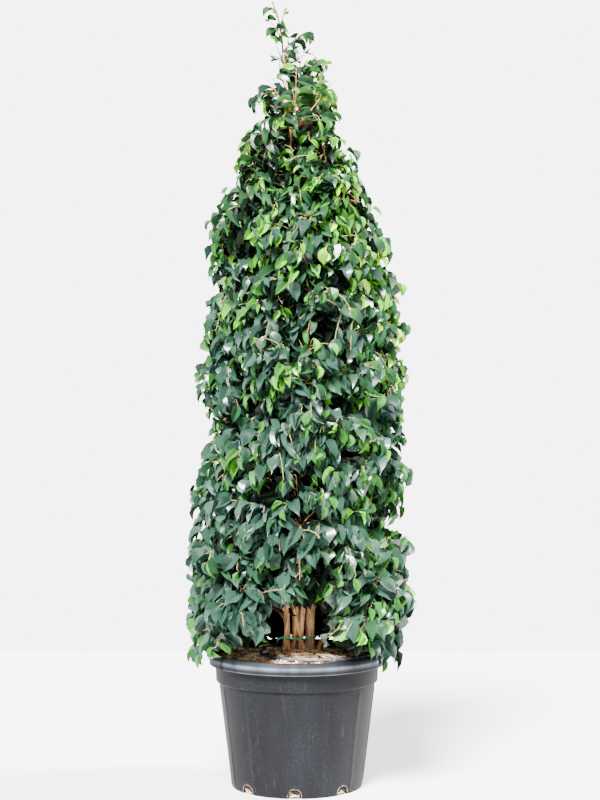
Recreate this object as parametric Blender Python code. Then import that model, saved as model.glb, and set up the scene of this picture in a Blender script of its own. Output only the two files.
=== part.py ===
"""A bushy weeping fig, grown as a tall cone on several tied stems, in its plastic nursery pot.

Metres, +Z up. The origin is the centre of the pot's flat underside, and the front is -Y.
Pieces that touch on the real plant keep the gap CLEAR between them here.
"""

import math
import random
from collections import namedtuple

import bmesh
import bpy
import numpy as np
from mathutils import Vector
from mathutils.bvhtree import BVHTree

# Driving dimensions -------------------------------------------------------------------

CLEAR = 0.0003
UP = Vector((0, 0, 1))
SPREAD = (0.7548777, 0.5698403)  # steps that fill a square evenly
SEED = 17

# Pot: a tapered body, a wider band above a step, and a rolled rim that turns down.
WALL = 0.003
FLOOR = 0.004
FOOT_RADIUS = 0.1865
FOOT_BEVEL = 0.008
BODY_RADIUS = 0.2215
BODY_TOP = 0.292
BAND_BOTTOM = 0.302
BAND_RADIUS = 0.2305
BAND_FLARE = 0.003
BAND_TOP = 0.366
RIM_RADIUS = 0.2505
RIM_TOP = 0.383
RIM_HEM = 0.349
POT_COLUMNS = 36
FLUTES = 12
FLUTE_ANGLE = math.radians(-68)
FLUTE_PROUD = 0.0025
NOTCHES = 8
NOTCH_ANGLE = math.radians(-92)
NOTCH_WIDTH = 0.040
NOTCH_HEIGHT = 0.027
NOTCH_DEPTH = 0.021

# Growing medium: a shelf under the watering ring, a low edge, and a mound under the stems.
SOIL_COLUMNS = POT_COLUMNS // 2
PAD_RADIUS = 0.075
PAD_HEIGHT = 0.385
SHELF_HEIGHT = 0.3735
SHELF_INNER = 0.092
SHELF_OUTER = 0.205
SOIL_EDGE = 0.362
SOIL_LUMP = 0.003

# Watering ring: a closed loop of tube that lies on the shelf, off centre to the right.
RING_CENTRE = Vector((0.058, 0, 0))
RING_RADIUS = 0.160
RING_TUBE = 0.005
RING_COLUMNS = 28
RING_SIDES = 6

# Stems: foot and tip in plan, height of the tip, radii at foot and tip, and how early the
# lean comes (a low power leans from the foot, a high one only near the tip).
STEM_FOOT = PAD_HEIGHT + CLEAR
STEMS = {
    "stem_leader": dict(foot=(-0.0015, 0.006), tip=(-0.040, 0.002), top=2.085,
                        radii=(0.0120, 0.0026), lean=6.0, sides=8, rings=11),
    "stem_right": dict(foot=(0.037, -0.004), tip=(0.070, 0.040), top=1.60,
                       radii=(0.0136, 0.0056), lean=1.3, sides=8, rings=8),
    "stem_left": dict(foot=(-0.027, -0.010), tip=(-0.072, 0.030), top=1.46,
                      radii=(0.0086, 0.0050), lean=1.6, sides=7, rings=8),
    "stem_front": dict(foot=(0.006, -0.021), tip=(0.050, -0.080), top=1.20,
                       radii=(0.0065, 0.0046), lean=0.7, sides=6, rings=7),
}
ROOT_FLARE = 0.3
ROOT_FLARE_HEIGHT = 0.022
KNOB_STEM = "stem_left"
KNOB_HEIGHT = 0.515
KNOB_SPREAD = 0.020
KNOB_SWELL = 0.85
TIE_HEIGHT = 0.422
TIE_RADIUS = 0.002
TIE_POINTS = 20
TIE_SIDES = 5

# Crown: (height, radius) of its outline, from the skirt outside the rim to the tip.
OUTLINE = (
    (0.335, 0.285), (0.45, 0.335), (0.57, 0.352), (0.72, 0.332), (1.20, 0.310), (1.40, 0.295),
    (1.55, 0.270), (1.70, 0.235), (1.82, 0.188), (2.00, 0.125), (2.10, 0.080), (2.235, 0.045),
)
CROWN_AXIS = 0.009
TIP_LEAN = -0.085
TIP_LEAN_FROM = 2.05
CROWN_TOP = 2.235
RAGGED = 0.045
# Over the rim foliage stays above RIM_CLEAR, and outside SKIRT_RADIUS it hangs to the skirt's hem.
RIM_CLEAR = 0.394
SKIRT_RADIUS = 0.262
SKIRT_HEM = 0.335
# The stems show at the front through a doorway in the lowest foliage.
DOOR_HALF_WIDTH = 0.085
DOOR_TOP = 0.565

# Tiers of foliage, lowest first. Boughs leave the stems at drop under the tier's middle, and
# a tier with no drop springs straight off the leader.
Tier = namedtuple("Tier", "label height pitch count first_angle drop leaves leaf_scale stagger")
TIERS = (
    Tier("skirt", 0.53, 0.30, 4, -45, 0.045, 16, 1.0, 0.1),
    Tier("lower", 0.83, 0.31, 4, -90, 0.22, 16, 1.0, 0.5),
    Tier("waist", 1.15, 0.31, 4, -90, 0.19, 15, 1.0, 0.5),
    Tier("middle", 1.45, 0.29, 3, -75, 0.18, 16, 1.0, 0.5),
    Tier("shoulder", 1.71, 0.24, 3, -30, 0.16, 15, 0.9, 0.5),
    Tier("crest", 1.93, 0.20, 2, -80, None, 13, 0.72, 0.4),
    Tier("tip", 2.12, 0.20, 1, 180, None, 13, 0.5, 0.0),
)
CENTRE_SHARE = 0.62
ENTRY_SHARE = 0.36
BOUGH_ROOT = 0.0072
BOUGH_TAPER = 0.62
BOUGH_TIP_LEAST = 0.0030
BOUGH_OF_STEM = 0.72
BOUGH_COLLAR = 1.2
BOUGH_SUNK = 0.45
BOUGH_BOW = 0.02
STEM_PAST_BOUGH = 0.08
CREST_DROP = 0.07
CREST_RISE = 0.7
TIP_BACK = 0.006
TIP_TAPER = 0.9
BOUGH_SIDES = 5
BOUGH_RINGS = 4
LOW_SHOOT_FOOT = Vector((0.060, -0.027, STEM_FOOT))
LOW_SHOOT_TIP = Vector((0.132, -0.074, 0.462))
LOW_SHOOT_RISE = 0.04

# Foliage: stems, three-sided twigs, and leaves larger than life.
SPRAY_RADIUS = 0.0034
SPRAY_REACH = 0.78
TWIG_RADII = (0.0042, 0.0030)
TWIG_ARCH = 0.16
TWIG_BOW = 0.12
SPRAY_NODES = (0.25, 0.4, 0.55, 0.7, 0.85, 0.97)
BUD_TRIES = 260
BUD_SPACING = 0.09
BUD_SPAN = 1.25
BUD_LIFT = 0.3
BUD_SHARE = (0.80, 0.96)
LEAVES_PER_TWIG = 4
LEAST_LEAVES = 2
LEAFY_SHARE = 0.5
SWINGS = (0.95, 0.6, 1.4, 0.2, -0.4)
CORE_DETAIL = 2
CORE_SHARE = 0.42
CORE_INNER = 0.12
CORE_SHELL = 0.77
CORE_STEP = 0.012
CORE_REACH = 0.21
LEAF_LENGTH = 0.145
LEAF_WIDTH = 0.080
LEAF_THICK = 0.0036
LEAF_SHOULDER = 0.012
LEAF_SUNK = 0.0008
LEAF_FOLD = 0.006
LEAF_WIDEST = 0.42
LEAF_DROOP = 0.06
LEAF_SIZES = (0.88, 1.08)
HANG_ALONG = 0.35
HANG_OUT = (0.0, 0.45)
HANG_DOWN = 0.9
FACE_UP = (0.2, 0.5)
FACE_TURN = (-0.3, 0.3)
WALL_CLEAR = 0.0015
LIMB_CLEAR = 0.004

# Colours of the plain materials, as sRGB hex, with their roughness.
FINISHES = {
    "charcoal_plastic": ("56585C", 0.55),
    "coir_and_chips": ("8A6448", 0.95),
    "black_tube": ("34363A", 0.5),
    "green_tie": ("3F7A5C", 0.5),
    "brown_bark": ("9A7350", 0.85),
    "fig_leaf": ("3F6B48", 0.4),
}


# Shapes -------------------------------------------------------------------------------


class Arc:
    """A tapering limb on one curve, with its point, direction and radius at any share of it."""

    def __init__(self, start, bend, end, root, tip):
        self.start, self.bend, self.end = start, bend, end
        self.root, self.tip = root, tip

    def point(self, t):
        return self.start * (1 - t) ** 2 + self.bend * 2 * t * (1 - t) + self.end * t * t

    def slope(self, t):
        return ((self.bend - self.start) * (1 - t) + (self.end - self.bend) * t).normalized()

    def radius(self, t):
        return self.root + (self.tip - self.root) * t

    def rings(self, count):
        shares = [k / (count - 1) for k in range(count)]
        return [(self.point(t), self.slope(t), self.radius(t)) for t in shares]


class Stem:
    """An upright stem with a flared foot, cut level at both ends."""

    def __init__(self, foot, tip, top, radii, lean, sides, rings, knob=False):
        self.foot, self.tip, self.top = Vector(foot), Vector(tip), top
        self.radii, self.lean, self.sides = radii, lean, sides
        self.knob = knob
        self.ring_count = rings

    def point(self, height):
        t = (height - STEM_FOOT) / (self.top - STEM_FOOT)
        plan = self.foot.lerp(self.tip, max(t, 0) ** self.lean)
        return Vector((plan.x, plan.y, height))

    def radius(self, height):
        t = (height - STEM_FOOT) / (self.top - STEM_FOOT)
        plain = self.radii[0] + (self.radii[1] - self.radii[0]) * t
        flare = 1 + ROOT_FLARE * math.exp(-(height - STEM_FOOT) / ROOT_FLARE_HEIGHT)
        swell = math.exp(-(((height - KNOB_HEIGHT) / KNOB_SPREAD) ** 2)) if self.knob else 0
        return plain * flare * (1 + KNOB_SWELL * swell)

    def rings(self):
        rise = self.top - STEM_FOOT
        heights = [STEM_FOOT + rise * (k / self.ring_count) ** 1.5 for k in range(self.ring_count + 1)]
        heights += [STEM_FOOT + ROOT_FLARE_HEIGHT]
        if self.knob:
            heights += [KNOB_HEIGHT + k * KNOB_SPREAD for k in (-1.4, -0.5, 0.5, 1.4)]
        return [(self.point(h), UP, self.radius(h)) for h in sorted(heights)]


def tube(rings, sides, grow=0.0):
    """A closed tube through rings of (centre, direction, radius), grown outwards by grow."""
    bm = bmesh.new()
    first = rings[0][1]
    across = UP - first * first.dot(UP)
    across = first.orthogonal() if across.length < 0.1 else across
    loops = []
    for centre, direction, radius in rings:
        across = (across - direction * across.dot(direction)).normalized()
        beside = direction.cross(across)
        reach = radius + grow / math.cos(math.pi / sides)
        turns = [2 * math.pi * k / sides for k in range(sides)]
        spokes = [across * math.cos(a) + beside * math.sin(a) for a in turns]
        loops.append([bm.verts.new(centre + spoke * reach) for spoke in spokes])
    for low, high in zip(loops, loops[1:]):
        for k in range(sides):
            bm.faces.new((low[k], low[(k + 1) % sides], high[(k + 1) % sides], high[k]))
    bm.faces.new(loops[0][::-1])
    bm.faces.new(loops[-1])
    return bm


def turned(profile, columns, first_angle):
    """A solid of revolution. The profile is (radius, height) from one end on the axis to the other."""
    bm = bmesh.new()
    plan = Vector((math.cos(first_angle), math.sin(first_angle), 0))
    points = [bm.verts.new(plan * radius + UP * height) for radius, height in profile]
    edges = [bm.edges.new(pair) for pair in zip(points, points[1:])]
    bmesh.ops.spin(bm, geom=points + edges, cent=(0, 0, 0), axis=UP, angle=2 * math.pi,
                   steps=columns, use_merge=True)
    bmesh.ops.remove_doubles(bm, verts=bm.verts[:], dist=1e-6)
    bmesh.ops.recalc_face_normals(bm, faces=bm.faces[:])
    return bm


def finish(name):
    """The named plain material, made on its first use."""
    if name in bpy.data.materials:
        return bpy.data.materials[name]
    hexes, roughness = FINISHES[name]
    shares = [int(hexes[k:k + 2], 16) / 255 for k in (0, 2, 4)]
    linear = [s / 12.92 if s <= 0.04045 else ((s + 0.055) / 1.055) ** 2.4 for s in shares]
    material = bpy.data.materials.new(name)
    material.use_nodes = True
    shader = material.node_tree.nodes["Principled BSDF"]
    shader.inputs["Base Color"].default_value = (*linear, 1)
    shader.inputs["Roughness"].default_value = roughness
    shader.inputs["Metallic"].default_value = 0.0
    material.diffuse_color = (*linear, 1)
    return material


def place(name, bm, finish_name, collection=None, smooth=True):
    """An object of this mesh in the scene, or in a helper collection."""
    mesh = bpy.data.meshes.new(name)
    bm.to_mesh(mesh)
    bm.free()
    if smooth:
        mesh.shade_smooth()
        mesh.set_sharp_from_angle(angle=math.radians(40))
    mesh.materials.append(finish(finish_name))
    obj = bpy.data.objects.new(name, mesh)
    (collection or bpy.context.scene.collection).objects.link(obj)
    return obj


def apply_modifiers(obj):
    """Swaps the object's mesh for its evaluated one."""
    graph = bpy.context.evaluated_depsgraph_get()
    made = bpy.data.meshes.new_from_object(obj.evaluated_get(graph))
    old = obj.data
    obj.modifiers.clear()
    obj.data = made
    bpy.data.meshes.remove(old)


def remove(objects):
    for obj in list(objects):
        mesh = obj.data
        bpy.data.objects.remove(obj)
        bpy.data.meshes.remove(mesh)


def cut(obj, cutters):
    """Takes closed helper meshes away from the object."""
    for k, bm in enumerate(cutters):
        cutter = place(f"{obj.name}_cutter_{k}", bm, "brown_bark", smooth=False)
        cutter.hide_render = True
        cutter.display_type = "WIRE"
        modifier = obj.modifiers.new("Cut", "BOOLEAN")
        modifier.operation = "DIFFERENCE"
        modifier.solver = "EXACT"
        modifier.object = cutter
        apply_modifiers(obj)
        remove([cutter])
    keep_largest_body(obj)


def keep_largest_body(obj):
    """Drops loose scraps and fills sealed hollows. Says whether the mesh that is left is closed."""
    bm = bmesh.new()
    bm.from_mesh(obj.data)
    bmesh.ops.remove_doubles(bm, verts=bm.verts[:], dist=1e-6)
    bodies, seen = [], set()
    for first in bm.faces:
        if first in seen:
            continue
        body, ahead = [], [first]
        seen.add(first)
        while ahead:
            face = ahead.pop()
            body.append(face)
            near = {other for edge in face.edges for other in edge.link_faces} - seen
            seen |= near
            ahead += sorted(near, key=lambda other: other.index)
        bodies.append(body)
    bodies.sort(key=lambda body: sum(face.calc_area() for face in body))
    spare = [face for body in bodies[:-1] for face in body]
    bmesh.ops.delete(bm, geom=spare, context="FACES")
    closed = all(len(edge.link_faces) == 2 for edge in bm.edges)
    bm.to_mesh(obj.data)
    bm.free()
    return closed


def fuse(name, parts, finish_name):
    """One solid from closed meshes that overlap: the first is the body, the rest are joined to it."""
    for solver, share in (("EXACT", 1.0), ("MANIFOLD", 1.0), ("EXACT", 0.8), ("MANIFOLD", 0.6)):
        kept = parts[: max(2, round(len(parts) * share))]
        body = place(name, kept[0].copy(), finish_name, smooth=False)
        helpers = bpy.data.collections.new(name + "_parts")
        bpy.context.scene.collection.children.link(helpers)
        for k, bm in enumerate(kept[1:]):
            place(f"{name}_part_{k}", bm.copy(), finish_name, helpers, smooth=False)
        modifier = body.modifiers.new("Fuse", "BOOLEAN")
        modifier.operation = "UNION"
        modifier.operand_type = "COLLECTION"
        modifier.collection = helpers
        modifier.solver = solver
        apply_modifiers(body)
        remove(helpers.objects)
        bpy.data.collections.remove(helpers)
        if keep_largest_body(body):
            break
        remove([body])
    for bm in parts:
        bm.free()
    return body


# Pot and what lies in it --------------------------------------------------------------


def build_pot():
    """The pot: turned, fluted down its body, and notched round its foot for drainage."""
    band_radius = BAND_RADIUS + BAND_FLARE
    outside = [
        (0, 0), (FOOT_RADIUS - FOOT_BEVEL, 0), (FOOT_RADIUS, FOOT_BEVEL),
        (BODY_RADIUS, BODY_TOP), (BAND_RADIUS, BAND_BOTTOM), (band_radius, BAND_TOP),
    ]
    rim = [
        (RIM_RADIUS - WALL, BAND_TOP + 0.001), (RIM_RADIUS - WALL, RIM_HEM), (RIM_RADIUS, RIM_HEM),
        (RIM_RADIUS, RIM_TOP - 0.012), (RIM_RADIUS - 0.003, RIM_TOP - 0.004),
        (RIM_RADIUS - 0.0085, RIM_TOP), (RIM_RADIUS - 0.015, RIM_TOP - 0.003),
        (BAND_RADIUS, RIM_TOP - 0.009),
    ]
    inside = [
        (band_radius - WALL, BAND_TOP - 0.006), (BAND_RADIUS - WALL, BAND_BOTTOM + WALL),
        (BODY_RADIUS - WALL, BODY_TOP + WALL), (FOOT_RADIUS - WALL, FOOT_BEVEL + 0.002),
        (FOOT_RADIUS - WALL - 0.003, FLOOR), (0, FLOOR),
    ]
    bm = turned(outside + rim + inside, POT_COLUMNS, FLUTE_ANGLE)
    for vert in bm.verts:
        radius = math.hypot(vert.co.x, vert.co.y)
        height = vert.co.z
        share = (height - FOOT_BEVEL) / (BODY_TOP - FOOT_BEVEL)
        body_here = FOOT_RADIUS + (BODY_RADIUS - FOOT_RADIUS) * share
        turn = (math.atan2(vert.co.y, vert.co.x) - FLUTE_ANGLE) / (2 * math.pi) * FLUTES
        on_flute = abs(turn - round(turn)) < 0.01
        if on_flute and FOOT_BEVEL <= height <= BODY_TOP and abs(radius - body_here) < 0.001:
            vert.co.xy *= 1 + FLUTE_PROUD / radius
    pot = place("pot", bm, "charcoal_plastic")
    cut(pot, [notch(k) for k in range(NOTCHES)])
    return pot


def notch(k):
    """The cutter of one arched drainage notch."""
    half = NOTCH_WIDTH / 2
    arch = [(-half, -0.01), (half, -0.01), (half, 0.004), (0.7 * half, 0.8 * NOTCH_HEIGHT),
            (0.3 * half, NOTCH_HEIGHT), (-0.3 * half, NOTCH_HEIGHT), (-0.7 * half, 0.8 * NOTCH_HEIGHT),
            (-half, 0.004)]
    angle = NOTCH_ANGLE + 2 * math.pi * k / NOTCHES
    out = Vector((math.cos(angle), math.sin(angle), 0))
    along = Vector((-out.y, out.x, 0))
    bm = bmesh.new()
    start = out * (FOOT_RADIUS - NOTCH_DEPTH)
    face = bm.faces.new([bm.verts.new(start + along * x + UP * z) for x, z in arch])
    made = bmesh.ops.extrude_face_region(bm, geom=[face])
    moved = [item for item in made["geom"] if isinstance(item, bmesh.types.BMVert)]
    bmesh.ops.translate(bm, verts=moved, vec=out * (NOTCH_DEPTH + 0.02))
    bmesh.ops.recalc_face_normals(bm, faces=bm.faces[:])
    return bm


def build_growing_medium():
    """The filled inside of the pot, lumpy towards the edge, and the mound under the stems."""
    gap = WALL + 0.0005
    profile = [
        (0, FLOOR + CLEAR), (FOOT_RADIUS - gap - 0.0035, FLOOR + CLEAR),
        (FOOT_RADIUS - gap, FOOT_BEVEL + 0.004), (BODY_RADIUS - gap, BODY_TOP + WALL),
        (BAND_RADIUS - gap, BAND_BOTTOM + WALL), (BAND_RADIUS - gap + 0.002, SOIL_EDGE),
        (SHELF_OUTER, SHELF_HEIGHT - 0.001), (0.165, SHELF_HEIGHT), (SHELF_INNER, SHELF_HEIGHT),
        (0, SHELF_HEIGHT),
    ]
    bm = turned(profile, SOIL_COLUMNS, FLUTE_ANGLE)
    rng = random.Random(SEED)
    for vert in sorted(bm.verts, key=lambda v: (round(v.co.z, 4), round(v.co.x, 4), round(v.co.y, 4))):
        if math.hypot(vert.co.x, vert.co.y) > SHELF_INNER + 0.01 and vert.co.z > SOIL_EDGE + 0.001:
            vert.co.z -= rng.random() * SOIL_LUMP
    place("growing_medium", bm, "coir_and_chips")
    foot = SHELF_HEIGHT + CLEAR
    mound = turned([(0, foot), (SHELF_INNER, foot), (PAD_RADIUS, PAD_HEIGHT), (0, PAD_HEIGHT)],
                   SOIL_COLUMNS, FLUTE_ANGLE)
    place("medium_mound", mound, "coir_and_chips")


def build_watering_ring():
    """The loop of watering tube that lies on the medium."""
    centre = RING_CENTRE + UP * (SHELF_HEIGHT + CLEAR + RING_TUBE)
    bm = bmesh.new()
    section = bmesh.ops.create_circle(bm, segments=RING_SIDES, radius=RING_TUBE)["verts"]
    for vert in section:
        vert.co = centre + Vector((RING_RADIUS + vert.co.x, 0, vert.co.y))
    edges = list({edge for vert in section for edge in vert.link_edges})
    bmesh.ops.spin(bm, geom=section + edges, cent=centre, axis=UP, angle=2 * math.pi,
                   steps=RING_COLUMNS, use_merge=True)
    bmesh.ops.remove_doubles(bm, verts=bm.verts[:], dist=1e-6)
    bmesh.ops.recalc_face_normals(bm, faces=bm.faces[:])
    return place("watering_ring", bm, "black_tube")


def build_tie(stems):
    """The tie drawn round all the stems just above the medium."""
    rings = []
    for k in range(TIE_POINTS):
        angle = 2 * math.pi * k / TIE_POINTS
        out = Vector((math.cos(angle), math.sin(angle), 0))
        reach = [(stem.point(TIE_HEIGHT), stem.radius(TIE_HEIGHT - TIE_RADIUS)) for stem in stems.values()]
        centre, radius = max(reach, key=lambda item: item[0].dot(out) + item[1])
        rings.append((centre + out * (radius + CLEAR + TIE_RADIUS * 1.15), out))
    bm = bmesh.new()
    loops = []
    for centre, out in rings:
        turns = [2 * math.pi * k / TIE_SIDES for k in range(TIE_SIDES)]
        spokes = [out * math.cos(a) + UP * math.sin(a) for a in turns]
        loops.append([bm.verts.new(centre + spoke * TIE_RADIUS) for spoke in spokes])
    for k, loop in enumerate(loops):
        ahead = loops[(k + 1) % TIE_POINTS]
        for j in range(TIE_SIDES):
            bm.faces.new((loop[j], ahead[j], ahead[(j + 1) % TIE_SIDES], loop[(j + 1) % TIE_SIDES]))
    bmesh.ops.recalc_face_normals(bm, faces=bm.faces[:])
    return place("stem_tie", bm, "green_tie")


# Crown --------------------------------------------------------------------------------


def outline_radius(angle, height):
    """The crown's radius at a height, a little ragged round its sides."""
    heights, radii = zip(*OUTLINE)
    plain = float(np.interp(height, heights, radii))
    wave = math.sin(3 * angle + 9 * height) + math.sin(5 * angle - 23 * height)
    return plain * (1 + RAGGED * wave / 2)


def crown_axis(height):
    """The crown's axis in plan, which leans with the leader at the tip."""
    share = min(max((height - TIP_LEAN_FROM) / (CROWN_TOP - TIP_LEAN_FROM), 0), 1)
    return CROWN_AXIS + TIP_LEAN * share


def crown_point(angle, height, share):
    """A point of the crown at a share of its radius."""
    reach = outline_radius(angle, height) * share
    return Vector((crown_axis(height) + reach * math.cos(angle), reach * math.sin(angle), height))


class Limbs:
    """The stems and boughs as straight stretches, to keep foliage clear of them."""

    def __init__(self):
        self.starts, self.ends, self.radii, self.trees = [], [], [], []

    def add(self, rings, sides):
        grown = tube(rings, sides, LIMB_CLEAR / 2)
        self.trees.append(BVHTree.FromBMesh(grown))
        grown.free()
        for (a, _, ra), (b, _, rb) in zip(rings, rings[1:]):
            self.starts.append(a[:])
            self.ends.append(b[:])
            self.radii.append(max(ra, rb))

    def clear(self, points, gap):
        """Whether all the points lie at least gap outside every limb."""
        starts, ends = np.array(self.starts), np.array(self.ends)
        runs = ends - starts
        away = points[:, None, :] - starts[None]
        t = np.clip((away * runs).sum(2) / (runs * runs).sum(1), 0, 1)
        distance = np.linalg.norm(away - t[..., None] * runs[None], axis=2)
        return bool((distance > np.array(self.radii) + gap).all())


class Space:
    """The room of one mass: its share of the crown, clear of limbs, rim and doorway."""

    def __init__(self, centre, centres, limbs):
        own = np.array(centre[:])
        others = np.array([c[:] for c in centres if c is not centre])
        normals = others - own
        lengths = np.linalg.norm(normals, axis=1)
        self.normals = normals / lengths[:, None]
        self.offsets = (self.normals * (others + own) / 2).sum(1)
        self.limbs = limbs

    def holds(self, points, gap):
        """Whether every point, with gap round it, is in the room."""
        array = np.array([p[:] for p in points])
        if (array @ self.normals.T > self.offsets - gap - WALL_CLEAR).any():
            return False
        for x, y, z in array:
            if not SKIRT_HEM < z < CROWN_TOP:
                return False
            dx = x - crown_axis(z)
            reach = math.hypot(dx, y)
            if reach > outline_radius(math.atan2(y, dx), z) - gap:
                return False
            if math.hypot(x, y) < SKIRT_RADIUS and z < RIM_CLEAR + gap:
                return False
            if y < 0 and abs(x) < DOOR_HALF_WIDTH and z < DOOR_TOP:
                return False
        return self.limbs.clear(array, gap + LIMB_CLEAR)

    def holds_core(self, point):
        """Whether a point is in the inner part of the room, behind the leaves."""
        reach = math.hypot(point.x - crown_axis(point.z), point.y)
        return reach < CORE_SHELL * outline_radius(0, point.z) and self.holds([point], CORE_STEP / 2)


def leaf_points(root, hang, face, length):
    """The six corners of a leaf: root, two sides, its rib above and below, and tip."""
    width, beside = LEAF_WIDTH * length / LEAF_LENGTH, hang.cross(face).normalized()
    middle = root + hang * (LEAF_WIDEST * length)
    rib = root + hang * LEAF_SHOULDER
    return [
        root - hang * LEAF_SUNK,
        middle + beside * (width / 2) + face * LEAF_FOLD, middle - beside * (width / 2) + face * LEAF_FOLD,
        rib + face * (LEAF_THICK / 2), rib - face * (LEAF_THICK / 2),
        root + hang * length - face * (LEAF_DROOP * length),
    ]


def leaf(points):
    """A leaf as eight faces on its six corners."""
    bm = bmesh.new()
    root, left, right, above, below, tip = [bm.verts.new(p) for p in points]
    for corners in ((root, above, left), (root, right, above), (above, tip, left), (above, right, tip),
                    (root, left, below), (root, below, right), (below, left, tip), (below, tip, right)):
        bm.faces.new(corners)
    bmesh.ops.recalc_face_normals(bm, faces=bm.faces[:])
    return bm


def core(space, spray, out):
    """The dense heart of a mass, which fills the inner part of its room, or None."""
    centre, inner = spray.point(CORE_SHARE), spray.point(CORE_INNER)
    beside = out.cross(UP).normalized()
    bm = bmesh.new()
    bmesh.ops.create_icosphere(bm, subdivisions=CORE_DETAIL, radius=1)
    for vert in bm.verts:
        ray = out * vert.co.x + beside * vert.co.y + UP * vert.co.z
        reach = CORE_STEP
        while reach < CORE_REACH:
            point = centre + ray * (reach + CORE_STEP)
            if (point - inner).dot(out) < 0 or not space.holds_core(point):
                break
            reach += CORE_STEP
        vert.co = centre + ray * reach
    bmesh.ops.recalc_face_normals(bm, faces=bm.faces[:])
    if any(BVHTree.FromBMesh(bm).overlap(tree) for tree in space.limbs.trees):
        bm.free()
        return None
    return bm


class Growth:
    """The closed meshes of one mass so far, each with a search tree, so that no two leaves cross."""

    def __init__(self, stem):
        self.parts = [stem]
        self.trees = [BVHTree.FromBMesh(stem)]
        self.leaves = []
        self.buds = []

    def add(self, bm, is_leaf=False):
        self.parts.append(bm)
        self.trees.append(BVHTree.FromBMesh(bm))
        if is_leaf:
            self.leaves.append(self.trees[-1])


def hang_leaf(space, twig, t, side, out, scale, rng):
    """Yields the corners of leaves that have room to hang from the twig at t, best first."""
    for swing in SWINGS:
        beside = out.cross(UP) * side * swing
        hang = twig.slope(t) * HANG_ALONG + out * rng.uniform(*HANG_OUT) - UP * HANG_DOWN + beside
        hang.normalize()
        face = out + UP * rng.uniform(*FACE_UP) + beside * rng.uniform(*FACE_TURN)
        face = (face - hang * face.dot(hang)).normalized()
        length = LEAF_LENGTH * scale * rng.uniform(*LEAF_SIZES)
        corners = leaf_points(twig.point(t), hang, face, length)
        inner = [corners[k].lerp(corners[5], 0.5) for k in (1, 2, 4)]
        if space.holds(corners[1:] + inner, 0.0):
            yield corners


def grow_twig(growth, space, spray, bud, scale, rng):
    """Adds a twig that arches from the spray stem to a bud, with its leaves. Says how many leaves."""
    if any((bud - other).length < BUD_SPACING * scale for other in growth.buds):
        return 0
    start = min((spray.point(t) for t in SPRAY_NODES), key=lambda p: (p - bud).length)
    out = Vector((bud.x - crown_axis(bud.z), bud.y, 0)).normalized()
    arch = (UP * TWIG_ARCH + out * TWIG_BOW) * (bud - start).length
    twig = Arc(start, start.lerp(bud, 0.5) + arch, bud, *TWIG_RADII)
    if not space.holds([twig.point(t) for t in (0.15, 0.4, 0.6, 0.8, 1)], TWIG_RADII[0]):
        return 0
    wood = tube(twig.rings(3), 3)
    wood_tree = BVHTree.FromBMesh(wood)
    if any(wood_tree.overlap(tree) for tree in growth.leaves + space.limbs.trees):
        wood.free()
        return 0
    blades, trees = [], []
    for k in range(LEAVES_PER_TWIG):
        t = 1 - LEAFY_SHARE * k / (LEAVES_PER_TWIG - 1)
        for corners in hang_leaf(space, twig, t, (-1) ** k, out, scale, rng):
            blade = leaf(corners)
            tree = BVHTree.FromBMesh(blade)
            if not any(tree.overlap(other) for other in growth.trees + trees + space.limbs.trees):
                blades.append(blade)
                trees.append(tree)
                break
            blade.free()
    if len(blades) < LEAST_LEAVES:
        for bm in [wood] + blades:
            bm.free()
        return 0
    growth.buds.append(bud)
    growth.add(wood)
    for blade in blades:
        growth.add(blade, is_leaf=True)
    return len(blades)


def buds(tier, angle, height, rng):
    """Endless points near the crown's surface about one mass, spread evenly over its share."""
    sector = 2 * math.pi / tier.count * BUD_SPAN
    lift = BUD_LIFT * LEAF_LENGTH * tier.leaf_scale
    k = rng.randrange(100)
    while True:
        k += 1
        turn = angle + sector * ((k * SPREAD[0]) % 1 - 0.5)
        rise = height + tier.pitch * BUD_SPAN * ((k * SPREAD[1]) % 1 - 0.5) + lift
        yield crown_point(turn, rise, rng.uniform(*BUD_SHARE))


def build_mass(name, tier, angle, height, spray, space, rng, trunk=None):
    """One mass of foliage: its stem, a core if the tier is dense, twigs and leaves, fused."""
    stem = tube(spray.rings(3), 4)
    if trunk:
        stub = place(name + "_stub", stem, "fig_leaf", smooth=False)
        cut(stub, [tube(trunk.rings(), trunk.sides, CLEAR)])
        stem = bmesh.new()
        stem.from_mesh(stub.data)
        remove([stub])
    growth = Growth(stem)
    out = Vector((math.cos(angle), math.sin(angle), 0))
    if tier.drop:
        heart = core(space, spray, out)
        if heart:
            growth.add(heart)
    grown = 0
    source = buds(tier, angle, height, rng)
    for _ in range(BUD_TRIES):
        grown += grow_twig(growth, space, spray, next(source), tier.leaf_scale, rng)
        if grown >= tier.leaves:
            break
    return fuse(name, growth.parts, "fig_leaf")


def build_stems():
    """The four stems, each from a flared foot on the medium to its tip."""
    stems = {}
    for name, sizes in STEMS.items():
        stems[name] = Stem(**sizes, knob=name == KNOB_STEM)
        place(name, tube(stems[name].rings(), stems[name].sides), "brown_bark")
    return stems


def plan_bough(tier, k, angle, height, stems):
    """The bough of one mass and the stem that carries it: the one furthest out on its side."""
    low = height - tier.drop
    out = Vector((math.cos(angle), math.sin(angle), 0))
    tall = [stem for stem in stems.values() if stem.top > low + STEM_PAST_BOUGH]
    parent = max(tall, key=lambda stem: stem.point(low).dot(out))
    start = parent.point(low) + out * (parent.radius(low) * BOUGH_SUNK)
    end = crown_point(angle, height - BOUGH_BOW, ENTRY_SHARE)
    bend = start.lerp(end, 0.5) + UP * BOUGH_BOW
    root = min(BOUGH_ROOT, parent.radius(low) * BOUGH_OF_STEM)
    return Arc(start, bend, end, root, max(root * BOUGH_TAPER, BOUGH_TIP_LEAST)), parent


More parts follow.
